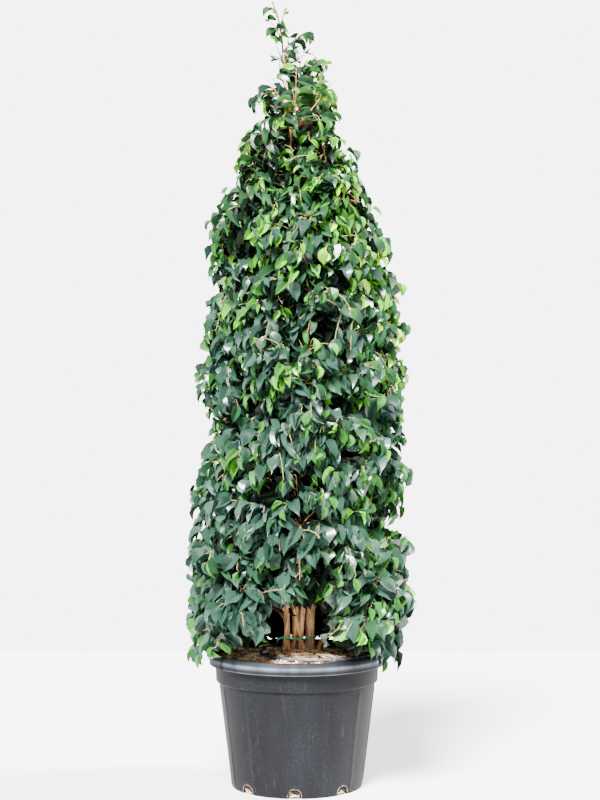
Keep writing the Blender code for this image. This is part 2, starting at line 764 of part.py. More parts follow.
def bough_rings(bough):
    """The bough's rings, swollen to a collar where it leaves the stem."""
    rings = bough.rings(BOUGH_RINGS)
    centre, direction, radius = rings[0]
    return [(centre, direction, radius * BOUGH_COLLAR)] + rings[1:]


def plan_crown(stems):
    """Each mass's name, tier, angle, centre, spray stem, bough and the stem it springs from."""
    plan = []
    for tier in TIERS:
        for k in range(tier.count):
            angle = math.radians(tier.first_angle) + 2 * math.pi * k / tier.count
            height = tier.height + tier.pitch * tier.stagger * (k % 2 - 0.5)
            centre = crown_point(angle, height, CENTRE_SHARE if tier.count > 1 else 0)
            bough, trunk = None, stems["stem_leader"]
            if tier is TIERS[0] and k == 0:
                bend = LOW_SHOOT_FOOT + UP * LOW_SHOOT_RISE
                bough = Arc(LOW_SHOOT_FOOT, bend, LOW_SHOOT_TIP, BOUGH_ROOT, BOUGH_ROOT * BOUGH_TAPER)
                trunk = None
            elif tier.drop:
                bough, trunk = plan_bough(tier, k, angle, height, stems)
            if bough:
                start = bough.end + bough.slope(1) * CLEAR
                ahead = bough.slope(1)
                root = bough.tip
            elif tier.count > 1:
                out = Vector((math.cos(angle), math.sin(angle), 0))
                low = height - CREST_DROP
                start = trunk.point(low) + out * (trunk.radius(low) * BOUGH_SUNK)
                ahead = (out + UP * CREST_RISE).normalized()
                root = trunk.radius(low) * BOUGH_OF_STEM
            else:
                start = trunk.point(trunk.top) + UP * CLEAR
                ahead, root = UP, trunk.radii[1]
            if tier.count > 1:
                end = crown_point(angle, height, SPRAY_REACH)
                tip = min(root, SPRAY_RADIUS)
            else:
                end = Vector((crown_axis(CROWN_TOP) + TIP_BACK, 0, CROWN_TOP - TIP_BACK))
                tip = root * TIP_TAPER
            spray = Arc(start, start + ahead * (end - start).length / 2, end, root, tip)
            plan.append((f"{tier.label}_{k + 1}", tier, angle, centre, spray, bough, trunk))
    return plan


def build_plant():
    """Stems, tie, boughs and masses of foliage."""
    stems = build_stems()
    build_tie(stems)
    plan = plan_crown(stems)
    limbs = Limbs()
    for stem in stems.values():
        limbs.add(stem.rings(), stem.sides)
    for name, _, _, _, _, bough, trunk in plan:
        if not bough:
            continue
        limbs.add(bough_rings(bough), BOUGH_SIDES)
        obj = place("bough_" + name, tube(bough_rings(bough), BOUGH_SIDES), "brown_bark")
        if trunk:
            cut(obj, [tube(trunk.rings(), trunk.sides, CLEAR)])
    centres = [row[3] for row in plan]
    for order, (name, tier, angle, centre, spray, bough, trunk) in enumerate(plan):
        space = Space(centre, centres, limbs)
        rng = random.Random(SEED * 1000 + order)
        off_leader = trunk if not bough and tier.count > 1 else None
        build_mass("foliage_" + name, tier, angle, centre.z, spray, space, rng, off_leader)


def main():
    for obj in list(bpy.data.objects):
        bpy.data.objects.remove(obj)
    build_pot()
    build_growing_medium()
    build_watering_ring()
    build_plant()


main()
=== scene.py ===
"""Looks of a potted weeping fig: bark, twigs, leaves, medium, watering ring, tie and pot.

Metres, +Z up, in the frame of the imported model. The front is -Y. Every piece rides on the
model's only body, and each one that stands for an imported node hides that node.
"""

import logging
import math
import random
from collections.abc import Callable, Iterator, Sequence
from dataclasses import dataclass, field
from enum import Enum
from typing import NamedTuple

import bmesh
import bpy
import numpy as np
from mathutils import Matrix, Vector, noise


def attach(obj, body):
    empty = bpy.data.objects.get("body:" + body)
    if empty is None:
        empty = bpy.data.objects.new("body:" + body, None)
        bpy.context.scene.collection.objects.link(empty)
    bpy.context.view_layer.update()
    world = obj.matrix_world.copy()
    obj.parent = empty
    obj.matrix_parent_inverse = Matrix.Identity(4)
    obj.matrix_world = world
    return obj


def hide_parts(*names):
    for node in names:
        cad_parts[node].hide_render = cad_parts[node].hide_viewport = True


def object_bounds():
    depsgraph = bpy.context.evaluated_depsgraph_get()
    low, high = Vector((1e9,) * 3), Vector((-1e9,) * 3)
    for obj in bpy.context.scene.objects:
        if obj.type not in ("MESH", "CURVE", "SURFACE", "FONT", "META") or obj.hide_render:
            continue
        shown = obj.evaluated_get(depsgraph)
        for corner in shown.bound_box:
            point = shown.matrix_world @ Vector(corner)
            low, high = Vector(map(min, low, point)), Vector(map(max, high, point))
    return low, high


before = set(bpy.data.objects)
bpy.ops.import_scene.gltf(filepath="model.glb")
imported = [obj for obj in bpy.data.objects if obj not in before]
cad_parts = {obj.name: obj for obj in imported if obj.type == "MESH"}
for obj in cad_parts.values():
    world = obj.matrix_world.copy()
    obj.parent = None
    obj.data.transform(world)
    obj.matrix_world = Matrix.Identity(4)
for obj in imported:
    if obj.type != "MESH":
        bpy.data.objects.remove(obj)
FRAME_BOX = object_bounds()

LOG = logging.getLogger("weeping_fig")
UP = Vector((0, 0, 1))
SPREAD = (0.7548777, 0.5698403)  # steps that fill a square evenly
SEED = 17
BODY = "root"

Ring = tuple[Vector, Vector, float]
Range = tuple[float, float]


# Finishes -----------------------------------------------------------------------------


def linear(code: str) -> tuple[float, float, float, float]:
    """Turns an sRGB hex colour into linear light.

    Args:
        code: six hex digits.

    Returns:
        Red, green, blue and an alpha of one.
    """
    shares = [int(code[k:k + 2], 16) / 255 for k in (0, 2, 4)]
    lit = [s / 12.92 if s <= 0.04045 else ((s + 0.055) / 1.055) ** 2.4 for s in shares]
    return (lit[0], lit[1], lit[2], 1.0)


def set_inputs(tree: bpy.types.NodeTree, node: bpy.types.Node, inputs: dict[str | int, object]) -> None:
    """Sets or links a node's inputs.

    Args:
        tree: the nodes that it belongs to.
        node: the node.
        inputs: for each named or numbered input a value, the output to link, or a node whose
            first live output is linked.
    """
    for name, value in inputs.items():
        if isinstance(value, bpy.types.Node):
            value = next(socket for socket in value.outputs if socket.enabled)
        if isinstance(value, bpy.types.NodeSocket):
            tree.links.new(value, node.inputs[name])
        else:
            node.inputs[name].default_value = value


def add_node(
    tree: bpy.types.NodeTree,
    kind: str,
    inputs: dict[str | int, object] | None = None,
    stops: Sequence[tuple[float, object]] = (),
    **settings: object,
) -> bpy.types.Node:
    """Adds one shader node.

    Args:
        tree: the material's nodes.
        kind: the node's type, without its ShaderNode prefix.
        inputs: what each named or numbered input gets.
        stops: places and hex colours, or greys, of a colour ramp.
        settings: the node's own properties.

    Returns:
        The new node.
    """
    node = tree.nodes.new("ShaderNode" + kind)
    for name, value in settings.items():
        setattr(node, name, value)
    set_inputs(tree, node, inputs or {})
    for k, (place, tone) in enumerate(stops):
        elements = node.color_ramp.elements
        element = elements[k] if k < len(elements) else elements.new(place)
        element.position = place
        element.color = linear(tone) if isinstance(tone, str) else (tone, tone, tone, 1)
    return node


@dataclass(frozen=True)
class Finish:
    """A surface finish that is built once and then shared."""

    name: str

    def build(self) -> bpy.types.Material:
        """Makes the material on its first use, and returns it."""
        if self.name in bpy.data.materials:
            return bpy.data.materials[self.name]
        material = bpy.data.materials.new(self.name)
        material.use_nodes = True
        tree = material.node_tree
        set_inputs(tree, tree.nodes["Principled BSDF"], self.shade(tree))
        return material

    def shade(self, tree: bpy.types.NodeTree) -> dict[str, object]:
        """Adds this finish's own nodes, and returns what the shader's inputs get."""
        raise NotImplementedError


@dataclass(frozen=True)
class MouldedPolypropylene(Finish):
    """Recycled charcoal polypropylene, injection moulded: satin, dusty, scuffed and speckled.

    The piece's wear attribute is one on the ridges that rub, and on the narrow stretch of crest at
    the left it is partly a painted highlight; its dust attribute is one towards the right side,
    which it makes paler; and its sheen attribute is one where a highlight is painted along the
    rim's roll, with a pale line at its hem that is partly wear and partly painted highlight.
    """

    dark: str = "050608"
    plain: str = "0A0B0F"
    pale: str = "13151A"
    dust: str = "4E4B46"
    # Pale blue-grey of the highlight painted on the rim's roll.
    sheen: str = "9AA3B4"
    roughness: float = 0.60
    dusty_roughness: float = 0.8

    def shade(self, tree: bpy.types.NodeTree) -> dict[str, object]:
        """Clouds of charcoal, rubbed ridges, a paler right side, drips, fine pale specks and a painted
        highlight on the rim.
        """
        where = add_node(tree, "TexCoord").outputs["Object"]
        wear, dust, lit = (add_node(tree, "Attribute", attribute_name=name).outputs["Fac"]
                           for name in ("wear", "dust", "sheen"))
        upright = add_node(tree, "Mapping", {"Vector": where, "Scale": (1.0, 1.0, 0.3)})
        clouds = add_node(tree, "TexNoise", {"Vector": upright, "Scale": 16.0, "Detail": 5.0})
        grain = add_node(tree, "TexNoise", {"Vector": where, "Scale": 380.0, "Detail": 3.0})
        mottle = add_node(tree, "Mix", {0: 0.62, 2: clouds, 3: grain})
        body = add_node(tree, "ValToRGB", {"Fac": mottle},
                        stops=((0.36, self.dark), (0.50, self.plain), (0.66, self.pale)))
        # Drips run down: 4 mm wide and some 80 mm long.
        tall = add_node(tree, "Mapping", {"Vector": where, "Scale": (1.0, 1.0, 0.05)})
        drips = add_node(tree, "TexNoise", {"Vector": tall, "Scale": 90.0, "Detail": 3.0})
        drip = add_node(tree, "ValToRGB", {"Fac": drips}, stops=((0.64, 0.0), (0.82, 0.22)))
        scuff = add_node(tree, "TexNoise",
                         {"Vector": where, "Scale": 160.0, "Detail": 6.0, "Roughness": 0.7})
        scuffed = add_node(tree, "ValToRGB", {"Fac": scuff}, stops=((0.4, 0.1), (0.68, 1.0)))
        rubbed = add_node(tree, "Math", {0: wear, 1: scuffed}, operation="MULTIPLY")
        # Paler scuffed patches towards the right side, where the dust attribute is high.
        paler_right = add_node(tree, "Math", {0: dust, 1: scuffed}, operation="MULTIPLY")
        soiled = add_node(tree, "Math", {0: rubbed, 1: paler_right}, operation="MAXIMUM")
        soiled = add_node(tree, "Math", {0: soiled, 1: drip}, operation="MAXIMUM")
        # Specks are 1 to 2 mm across, in patches.
        grit = add_node(tree, "TexVoronoi", {"Vector": where, "Scale": 170.0})
        specks = add_node(tree, "ValToRGB", {"Fac": grit}, stops=((0.09, 1.0), (0.16, 0.0)))
        patches = add_node(tree, "TexNoise", {"Vector": where, "Scale": 11.0, "Detail": 2.0})
        sparse = add_node(tree, "ValToRGB", {"Fac": patches}, stops=((0.44, 0.1), (0.62, 0.8)))
        speck = add_node(tree, "Math", {0: specks, 1: sparse}, operation="MULTIPLY")
        mask = add_node(tree, "Math", {0: soiled, 1: speck}, operation="MAXIMUM", use_clamp=True)
        # Painted highlight: where the sheen attribute is high, the body turns pale blue-grey in streaks that
        # follow the clouds.
        streak = add_node(tree, "ValToRGB", {"Fac": clouds}, stops=((0.38, 0.45), (0.60, 1.0)))
        highlight_mask = add_node(tree, "Math", {0: lit, 1: streak}, operation="MULTIPLY")
        rolled = add_node(tree, "Mix", {0: highlight_mask, 6: body, 7: linear(self.sheen)}, data_type="RGBA")
        colour = add_node(tree, "Mix", {0: mask, 6: rolled, 7: linear(self.dust)}, data_type="RGBA")
        rough = add_node(tree, "MapRange", {"Value": mask, "To Min": self.roughness,
                                            "To Max": self.dusty_roughness})
        skin = add_node(tree, "TexNoise", {"Vector": where, "Scale": 420.0, "Detail": 2.0})
        bump = add_node(tree, "Bump", {"Height": skin, "Strength": 0.22, "Distance": 0.0006})
        worn = add_node(tree, "Bump", {"Height": drips, "Normal": bump, "Strength": 0.15,
                                       "Distance": 0.001})
        return {"IOR": 1.49, "Specular IOR Level": 0.12, "Base Color": colour, "Roughness": rough,
                "Normal": worn}


@dataclass(frozen=True)
class CoirMedium(Finish):
    """Moist coir and peat: reddish-brown crumbs and fibres with dark hollows, quite matt."""

    def shade(self, tree: bpy.types.NodeTree) -> dict[str, object]:
        """Crumbs of 4 to 10 mm over a fibrous ground."""
        where = add_node(tree, "TexCoord").outputs["Object"]
        crumbs = add_node(tree, "TexVoronoi", {"Vector": where, "Scale": 130.0})
        ground = add_node(tree, "TexNoise",
                          {"Vector": where, "Scale": 60.0, "Detail": 8.0, "Roughness": 0.75})
        brown = add_node(tree, "ValToRGB", {"Fac": ground},
                         stops=((0.30, "361E18"), (0.42, "784234"), (0.55, "AE7258"), (0.70, "D8B690")))
        shade = add_node(tree, "ValToRGB", {"Fac": crumbs}, stops=((0.1, 1.0), (0.75, 0.6)))
        crumb = add_node(tree, "Mix", {0: 1.0, 6: brown, 7: shade}, data_type="RGBA",
                         blend_type="MULTIPLY")
        # Darker towards the bottom, below 0.3 m.
        height = add_node(tree, "SeparateXYZ", {0: where}).outputs["Z"]
        darker_below = add_node(tree, "MapRange", {"Value": height, "From Min": 0.1, "From Max": 0.34,
                                          "To Min": 0.03})
        colour = add_node(tree, "Mix", {0: 1.0, 6: crumb, 7: darker_below}, data_type="RGBA",
                          blend_type="MULTIPLY")
        lump = add_node(tree, "Bump", {"Height": crumbs, "Strength": 0.7, "Distance": 0.004}, invert=True)
        fibre = add_node(tree, "Bump", {"Height": ground, "Normal": lump, "Strength": 0.8,
                                        "Distance": 0.003})
        return {"Roughness": 0.95, "IOR": 1.4, "Base Color": colour, "Normal": fibre}


@dataclass(frozen=True)
class DriedFibre(Finish):
    """Dry straw, coir or bark shreds: one base tone with a fibrous streak."""

    tone: str = "C9A070"
    shadow: str = "8A6440"

    def shade(self, tree: bpy.types.NodeTree) -> dict[str, object]:
        """Streaks some 2 mm apart, which give each shred its own shade."""
        where = add_node(tree, "TexCoord").outputs["Object"]
        streaks = add_node(tree, "TexNoise", {"Vector": where, "Scale": 240.0, "Detail": 4.0})
        tones = add_node(tree, "ValToRGB", {"Fac": streaks}, stops=((0.35, self.shadow), (0.6, self.tone)))
        bump = add_node(tree, "Bump", {"Height": streaks, "Strength": 0.5, "Distance": 0.001})
        return {"Roughness": 0.85, "IOR": 1.45, "Base Color": tones, "Normal": bump}


@dataclass(frozen=True)
class PolytheneTube(Finish):
    """Extruded black polythene irrigation tube: a soft bluish sheen with a film of dust."""

    def shade(self, tree: bpy.types.NodeTree) -> dict[str, object]:
        """Near black under patchy grey dust."""
        where = add_node(tree, "TexCoord").outputs["Object"]
        film = add_node(tree, "TexNoise", {"Vector": where, "Scale": 70.0, "Detail": 6.0})
        colour = add_node(tree, "ValToRGB", {"Fac": film},
                          stops=((0.35, "2A2F37"), (0.55, "4A515C"), (0.75, "84888E")))
        rough = add_node(tree, "MapRange", {"Value": film, "To Min": 0.22, "To Max": 0.6})
        bump = add_node(tree, "Bump", {"Height": film, "Strength": 0.1, "Distance": 0.001})
        return {"IOR": 1.51, "Base Color": colour, "Roughness": rough, "Normal": bump}


@dataclass(frozen=True)
class CoatedWire(Finish):
    """Green plastic-coated garden tie: even and lightly glossy, with slight chalking."""

    def shade(self, tree: bpy.types.NodeTree) -> dict[str, object]:
        """Bottle green with paler rubbed patches a few millimetres long."""
        where = add_node(tree, "TexCoord").outputs["Object"]
        chalk = add_node(tree, "TexNoise", {"Vector": where, "Scale": 200.0, "Detail": 3.0})
        colour = add_node(tree, "ValToRGB", {"Fac": chalk}, stops=((0.4, "2AA874"), (0.7, "66CDA2")))
        return {"IOR": 1.5, "Roughness": 0.38, "Base Color": colour}


@dataclass(frozen=True)
class FigBark(Finish):
    """Fig bark: tan-brown and matt, with upright furrows, pale ridges and cross-wise pores."""

    deep: str = "7E5836"
    plain: str = "CDA070"
    ridge: str = "F0D2A4"
    pore: str = "4A3524"

    def shade(self, tree: bpy.types.NodeTree) -> dict[str, object]:
        """Furrows some 3 mm apart and 40 mm long, and pores 1 mm high."""
        where = add_node(tree, "TexCoord").outputs["Object"]
        tall = add_node(tree, "Mapping", {"Vector": where, "Scale": (1.0, 1.0, 0.09)})
        furrows = add_node(tree, "TexNoise",
                           {"Vector": tall, "Scale": 210.0, "Detail": 7.0, "Roughness": 0.62})
        tones = add_node(tree, "ValToRGB", {"Fac": furrows},
                         stops=((0.3, self.deep), (0.5, self.plain), (0.7, self.ridge)))
        flat = add_node(tree, "Mapping", {"Vector": where, "Scale": (0.35, 0.35, 1.0)})
        pores = add_node(tree, "TexVoronoi", {"Vector": flat, "Scale": 260.0})
        dots = add_node(tree, "ValToRGB", {"Fac": pores}, stops=((0.08, 0.55), (0.22, 0.0)))
        colour = add_node(tree, "Mix", {0: dots, 6: tones, 7: linear(self.pore)}, data_type="RGBA")
        bump = add_node(tree, "Bump", {"Height": furrows, "Strength": 0.75, "Distance": 0.0022})
        return {"Roughness": 0.82, "IOR": 1.45, "Base Color": colour, "Normal": bump}


@dataclass(frozen=True)
class TwigBark(Finish):
    """Young fig bark: smooth and thin, with a slight lengthwise grain."""

    tone: str = "7E4C28"
    pale: str = "A06C40"
    roughness: float = 0.6

    def shade(self, tree: bpy.types.NodeTree) -> dict[str, object]:
        """Two close tones in grains of about 5 mm."""
        where = add_node(tree, "TexCoord").outputs["Object"]
        grain = add_node(tree, "TexNoise", {"Vector": where, "Scale": 180.0, "Detail": 3.0})
        tones = add_node(tree, "ValToRGB", {"Fac": grain}, stops=((0.35, self.tone), (0.65, self.pale)))
        return {"Roughness": self.roughness, "IOR": 1.45, "Base Color": tones}


@dataclass(frozen=True)
class FigLeaf(Finish):
    """A leathery fig leaf: a waxed, glossy upper side, one plain tone, and fine slanting veins.

    The tone is dealt out by spray. Veins and the groove of the midrib follow the leaf's own
    map, which is across in U and along in V.
    """

    tone: str
    roughness: float
    wax: float
    sheen: float = 0.22

    def shade(self, tree: bpy.types.NodeTree) -> dict[str, object]:
        """Plain tone, wax as a thin coat, and a relief of veins a few millimetres apart."""
        where = add_node(tree, "TexCoord").outputs["Object"]
        bloom = add_node(tree, "TexNoise", {"Vector": where, "Scale": 35.0, "Detail": 2.0})
        rough = add_node(tree, "MapRange", {"Value": bloom, "To Min": self.roughness - 0.09,
                                            "To Max": self.roughness + 0.14})
        own = add_node(tree, "SeparateXYZ", {0: add_node(tree, "UVMap", uv_map="blade")})
        across = add_node(tree, "Math", {0: own.outputs["X"], 1: 0.5}, operation="SUBTRACT")
        out = add_node(tree, "Math", {0: across}, operation="ABSOLUTE")
        slant = add_node(tree, "Math", {0: out, 1: 0.55, 2: own.outputs["Y"]}, operation="MULTIPLY_ADD")
        comb = add_node(tree, "CombineXYZ", {"X": slant})
        veins = add_node(tree, "TexWave", {"Vector": comb, "Scale": 4.2, "Distortion": 0.4})
        rib = add_node(tree, "MapRange", {"Value": out, "From Max": 0.06, "To Min": -1.2, "To Max": 0.0})
        relief = add_node(tree, "Math", {0: veins.outputs["Fac"], 1: rib}, operation="ADD")
        bump = add_node(tree, "Bump", {"Height": relief, "Strength": 0.25, "Distance": 0.0006})
        return {"Base Color": linear(self.tone), "IOR": 1.47, "Specular IOR Level": self.sheen,
                "Coat Weight": self.wax, "Coat Roughness": 0.23, "Roughness": rough, "Normal": bump}


@dataclass(frozen=True)
class StudioFloor(Finish):
    """A pale, matt painted floor."""

    def shade(self, tree: bpy.types.NodeTree) -> dict[str, object]:
        """Pale, with the faintest roller texture."""
        where = add_node(tree, "TexCoord").outputs["Object"]
        nap = add_node(tree, "TexNoise", {"Vector": where, "Scale": 300.0})
        bump = add_node(tree, "Bump", {"Height": nap, "Strength": 0.05, "Distance": 0.001})
        return {"Base Color": linear("DCDCDA"), "Roughness": 0.9, "Normal": bump}


class Tint(Enum):
    """The tones of leaf, from the shaded inside of the crown to its newest tips."""

    SHADE = FigLeaf("fig_leaf_shaded", "061309", 0.50, 0.14, 0.10)
    BLUE = FigLeaf("fig_leaf_blue_green", "233E31", 0.38, 0.68)
    DEEP = FigLeaf("fig_leaf_deep_green", "1D3F24", 0.38, 0.68)
    MID = FigLeaf("fig_leaf_mid_green", "306324", 0.39, 0.64)
    FRESH = FigLeaf("fig_leaf_fresh_green", "529824", 0.41, 0.54)
    YOUNG = FigLeaf("fig_leaf_young", "8ABC34", 0.44, 0.44)
    TIP = FigLeaf("fig_leaf_new_tip", "B4D64E", 0.46, 0.36)


# Shared shapes ------------------------------------------------------------------------


def heading(angle: float) -> Vector:
    """The level direction at an angle in radians from +X."""
    return Vector((math.cos(angle), math.sin(angle), 0))


def absorb(whole: bmesh.types.BMesh, part: bmesh.types.BMesh) -> None:
    """Adds one mesh to another, and uses it up."""
    mesh = bpy.data.meshes.new("part")
    part.to_mesh(mesh)
    part.free()
    whole.from_mesh(mesh)
    bpy.data.meshes.remove(mesh)


def place(name: str, bm: bmesh.types.BMesh, finish: Finish, slot: str, nodes: Sequence[str] = (),
          smooth_angle: float | None = 40.0) -> bpy.types.Object:
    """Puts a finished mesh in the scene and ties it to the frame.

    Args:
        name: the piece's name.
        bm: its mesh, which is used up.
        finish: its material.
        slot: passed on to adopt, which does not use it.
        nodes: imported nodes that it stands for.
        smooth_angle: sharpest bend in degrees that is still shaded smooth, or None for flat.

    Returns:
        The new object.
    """
    mesh = bpy.data.meshes.new(name)
    bm.to_mesh(mesh)
    bm.free()
    if smooth_angle is not None:
        mesh.shade_smooth()
        if smooth_angle < 180:
            mesh.set_sharp_from_angle(angle=math.radians(smooth_angle))
    return adopt(name, mesh, finish, slot, nodes)


def adopt(name: str, mesh: bpy.types.Mesh, finish: Finish, slot: str,
          nodes: Sequence[str] = ()) -> bpy.types.Object:
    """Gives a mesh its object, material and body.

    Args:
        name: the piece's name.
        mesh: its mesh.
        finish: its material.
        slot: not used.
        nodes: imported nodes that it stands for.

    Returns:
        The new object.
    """
    mesh.materials.append(finish.build())
    piece = bpy.data.objects.new(name, mesh)
    bpy.context.scene.collection.objects.link(piece)
    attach(piece, BODY)
    if nodes:
        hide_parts(*nodes)
    LOG.info("%s: %d faces", name, len(mesh.polygons))
    return piece


def array_mesh(name: str, points: np.ndarray, quads: np.ndarray,
               across: np.ndarray | None = None) -> bpy.types.Mesh:
    """Makes one joined mesh of many small things.

    Args:
        name: the mesh's name.
        points: an array of places, one row each.
        quads: an array of four point numbers for each face.
        across: the map place of every point, if the surface has a pattern of its own.

    Returns:
        The mesh, shaded smooth.
    """
    mesh = bpy.data.meshes.new(name)
    mesh.vertices.add(len(points))
    mesh.vertices.foreach_set("co", np.ascontiguousarray(points, np.float32).ravel())
    mesh.loops.add(quads.size)
    mesh.loops.foreach_set("vertex_index", np.ascontiguousarray(quads, np.int32).ravel())
    mesh.polygons.add(len(quads))
    mesh.polygons.foreach_set("loop_start", np.arange(len(quads), dtype=np.int32) * quads.shape[1])
    mesh.update(calc_edges=True)
    mesh.validate()
    if across is not None:
        layer = mesh.uv_layers.new(name="blade")
        index = np.empty(len(mesh.loops), np.int32)
        mesh.loops.foreach_get("vertex_index", index)
        layer.data.foreach_set("uv", np.ascontiguousarray(across[index], np.float32).ravel())
    mesh.shade_smooth()
    return mesh


def turned(profile: Sequence[Range], columns: int) -> bmesh.types.BMesh:
    """Spins a profile once round the upright axis.

    Args:
        profile: radius and height, from one end on the axis to the other.
        columns: steps in the full turn.

    Returns:
        A closed mesh with its faces outward.
    """
    bm = bmesh.new()
    points = [bm.verts.new((radius, 0, height)) for radius, height in profile]
    edges = [bm.edges.new(pair) for pair in zip(points, points[1:])]
    bmesh.ops.spin(bm, geom=points + edges, cent=(0, 0, 0), axis=UP, angle=2 * math.pi,
                   steps=columns, use_merge=True)
    bmesh.ops.remove_doubles(bm, verts=bm.verts[:], dist=1e-6)
    bmesh.ops.recalc_face_normals(bm, faces=bm.faces[:])
    return bm


def swept(rings: Sequence[Ring], sides: int, relief: Callable[[float, float], float] | None = None,
          closed: bool = False) -> bmesh.types.BMesh:
    """Draws a circle along a path, ring by ring.

    Args:
        rings: centre, direction and radius of each ring.
        sides: points round each ring.
        relief: share by which the radius changes, at a turn in radians and a share of the path.
        closed: whether the last ring joins the first.

    Returns:
        A closed mesh with its faces outward.
    """
    def edges_of(ring: Sequence[bmesh.types.BMVert]) -> list[bmesh.types.BMEdge]:
        """The edges round one ring."""
        return [bm.edges.get((ring[k - 1], ring[k])) for k in range(sides)]

    bm = bmesh.new()
    first = rings[0][1]
    across = UP - first * first.dot(UP)
    across = first.orthogonal() if across.length < 0.1 else across
    loop = bmesh.ops.create_circle(bm, segments=sides, radius=1)["verts"]
    start = loop
    for number, (centre, direction, radius) in enumerate(rings):
        if number:
            fresh = {v for v in bmesh.ops.extrude_edge_only(bm, edges=edges_of(loop))["geom"]
                     if isinstance(v, bmesh.types.BMVert)}
            loop = [next(e.other_vert(v) for e in v.link_edges if e.other_vert(v) in fresh) for v in loop]
        across = (across - direction * across.dot(direction)).normalized()
        beside = direction.cross(across)
        for k, vert in enumerate(loop):
            turn = 2 * math.pi * k / sides
            share = relief(turn, number / (len(rings) - 1)) if relief else 0.0
            vert.co = centre + (across * math.cos(turn) + beside * math.sin(turn)) * radius * (1 + share)
    if closed:
        bmesh.ops.bridge_loops(bm, edges=edges_of(start) + edges_of(loop))
    else:
        for ring in (start, loop):
            bmesh.ops.contextual_create(bm, geom=edges_of(ring))
    bmesh.ops.recalc_face_normals(bm, faces=bm.faces[:])
    return bm


def path_rings(path: Sequence[Vector], radius: float) -> list[Ring]:
    """Rings of one radius along a line of points."""
    last = len(path) - 1
    return [(spot, (path[min(k + 1, last)] - path[max(k - 1, 0)]).normalized(), radius)
            for k, spot in enumerate(path)]


@dataclass(frozen=True)
class Arc:
    """A tapering limb on one curve."""

    start: Vector
    bend: Vector
    end: Vector
    root: float
    tip: float

    def point(self, t: float) -> Vector:
        """The place at a share of the curve."""
        return self.start * (1 - t) ** 2 + self.bend * 2 * t * (1 - t) + self.end * t * t

    def slope(self, t: float) -> Vector:
        """The direction at a share of the curve."""
        return ((self.bend - self.start) * (1 - t) + (self.end - self.bend) * t).normalized()

    def radius(self, t: float) -> float:
        """The radius at a share of the curve."""
        return self.root + (self.tip - self.root) * t

    def length(self) -> float:
        """The straight run from start to end."""
        return (self.end - self.start).length

    def rings(self, count: int) -> list[Ring]:
        """Evenly spaced rings along the curve."""
        shares = [k / (count - 1) for k in range(count)]
        return [(self.point(t), self.slope(t), self.radius(t)) for t in shares]


def joined_arcs(name: str, arcs: Sequence[Arc], rings: int, sides: int) -> bpy.types.Mesh:
    """Joins many thin limbs.

    Args:
        name: the mesh's name.
        arcs: the limbs.
        rings: rings along each.
        sides: points round each ring.

    Returns:
        Their mesh, with open ends that sink into what they grow from.
    """
    t = np.linspace(0, 1, rings)[None, :, None]
    start, bend, end = (np.array([getattr(arc, part)[:] for arc in arcs])[:, None]
                        for part in ("start", "bend", "end"))
    centre = start * (1 - t) ** 2 + bend * 2 * t * (1 - t) + end * t * t
    along = (bend - start) * (1 - t) + (end - bend) * t
    along /= np.linalg.norm(along, axis=2, keepdims=True)
    across = np.cross(along, np.array([0.31, 0.23, 0.92]))  # a direction that no limb takes
    across /= np.linalg.norm(across, axis=2, keepdims=True)
    beside = np.cross(along, across)
    radius = np.array([[arc.radius(share) for share in np.linspace(0, 1, rings)] for arc in arcs])
    turn = np.arange(sides) * 2 * math.pi / sides
    round_it = (across[:, :, None] * np.cos(turn)[None, None, :, None]
                + beside[:, :, None] * np.sin(turn)[None, None, :, None])
    made = centre[:, :, None] + radius[:, :, None, None] * round_it
    grid = np.arange(len(arcs) * rings * sides).reshape(len(arcs), rings, sides)
    near, far = grid[:, :-1], grid[:, 1:]
    quads = np.stack([near, np.roll(near, -1, 2), np.roll(far, -1, 2), far], axis=-1)
    return array_mesh(name, made.reshape(-1, 3), quads.reshape(-1, 4))


# Wood ---------------------------------------------------------------------------------


@dataclass(frozen=True)
class Stem:
    """An upright stem with a flared foot, which leans early for a low power and late for a high one."""

    foot: Range
    tip: Range
    top: float
    radii: Range
    lean: float
    strands: int
    knob: bool = False
    base: float = 0.3853
    flare: float = 0.3
    flare_height: float = 0.022
    knob_height: float = 0.515
    knob_spread: float = 0.020
    knob_swell: float = 0.85

    def share(self, height: float) -> float:
        """How far up the stem a height lies."""
        return max((height - self.base) / (self.top - self.base), 0)

    def point(self, height: float) -> Vector:
        """The stem's centre at a height."""
        plan = Vector(self.foot).lerp(Vector(self.tip), self.share(height) ** self.lean)
        return Vector((plan.x, plan.y, height))

    def radius(self, height: float) -> float:
        """The stem's radius at a height, with its flare and any knob."""
        plain = self.radii[0] + (self.radii[1] - self.radii[0]) * self.share(height)
        spread = 1 + self.flare * math.exp(-(height - self.base) / self.flare_height)
        swell = math.exp(-(((height - self.knob_height) / self.knob_spread) ** 2)) if self.knob else 0
        return plain * spread * (1 + self.knob_swell * swell)

    def rings(self, count: int) -> list[Ring]:
        """Rings up the stem, closer together near the foot."""
        rise = self.top - self.base
        heights = [self.base + rise * (k / count) ** 1.5 for k in range(count + 1)]
        return [(self.point(h), UP, self.radius(h)) for h in heights]


@dataclass(frozen=True)
class Tier:
    """A storey of the crown, with one mass of foliage for each bough."""

    label: str
    height: float
    pitch: float
    count: int
    first_angle: float
    drop: float | None
    leaf_scale: float
    stagger: float
    twigs: int


@dataclass(frozen=True)
class Mass:
    """One mass of foliage: where it lies, its own stem, and the bough that carries it."""

    name: str
    tier: Tier
    angle: float
    centre: Vector
    spray: Arc
    bough: Arc | None


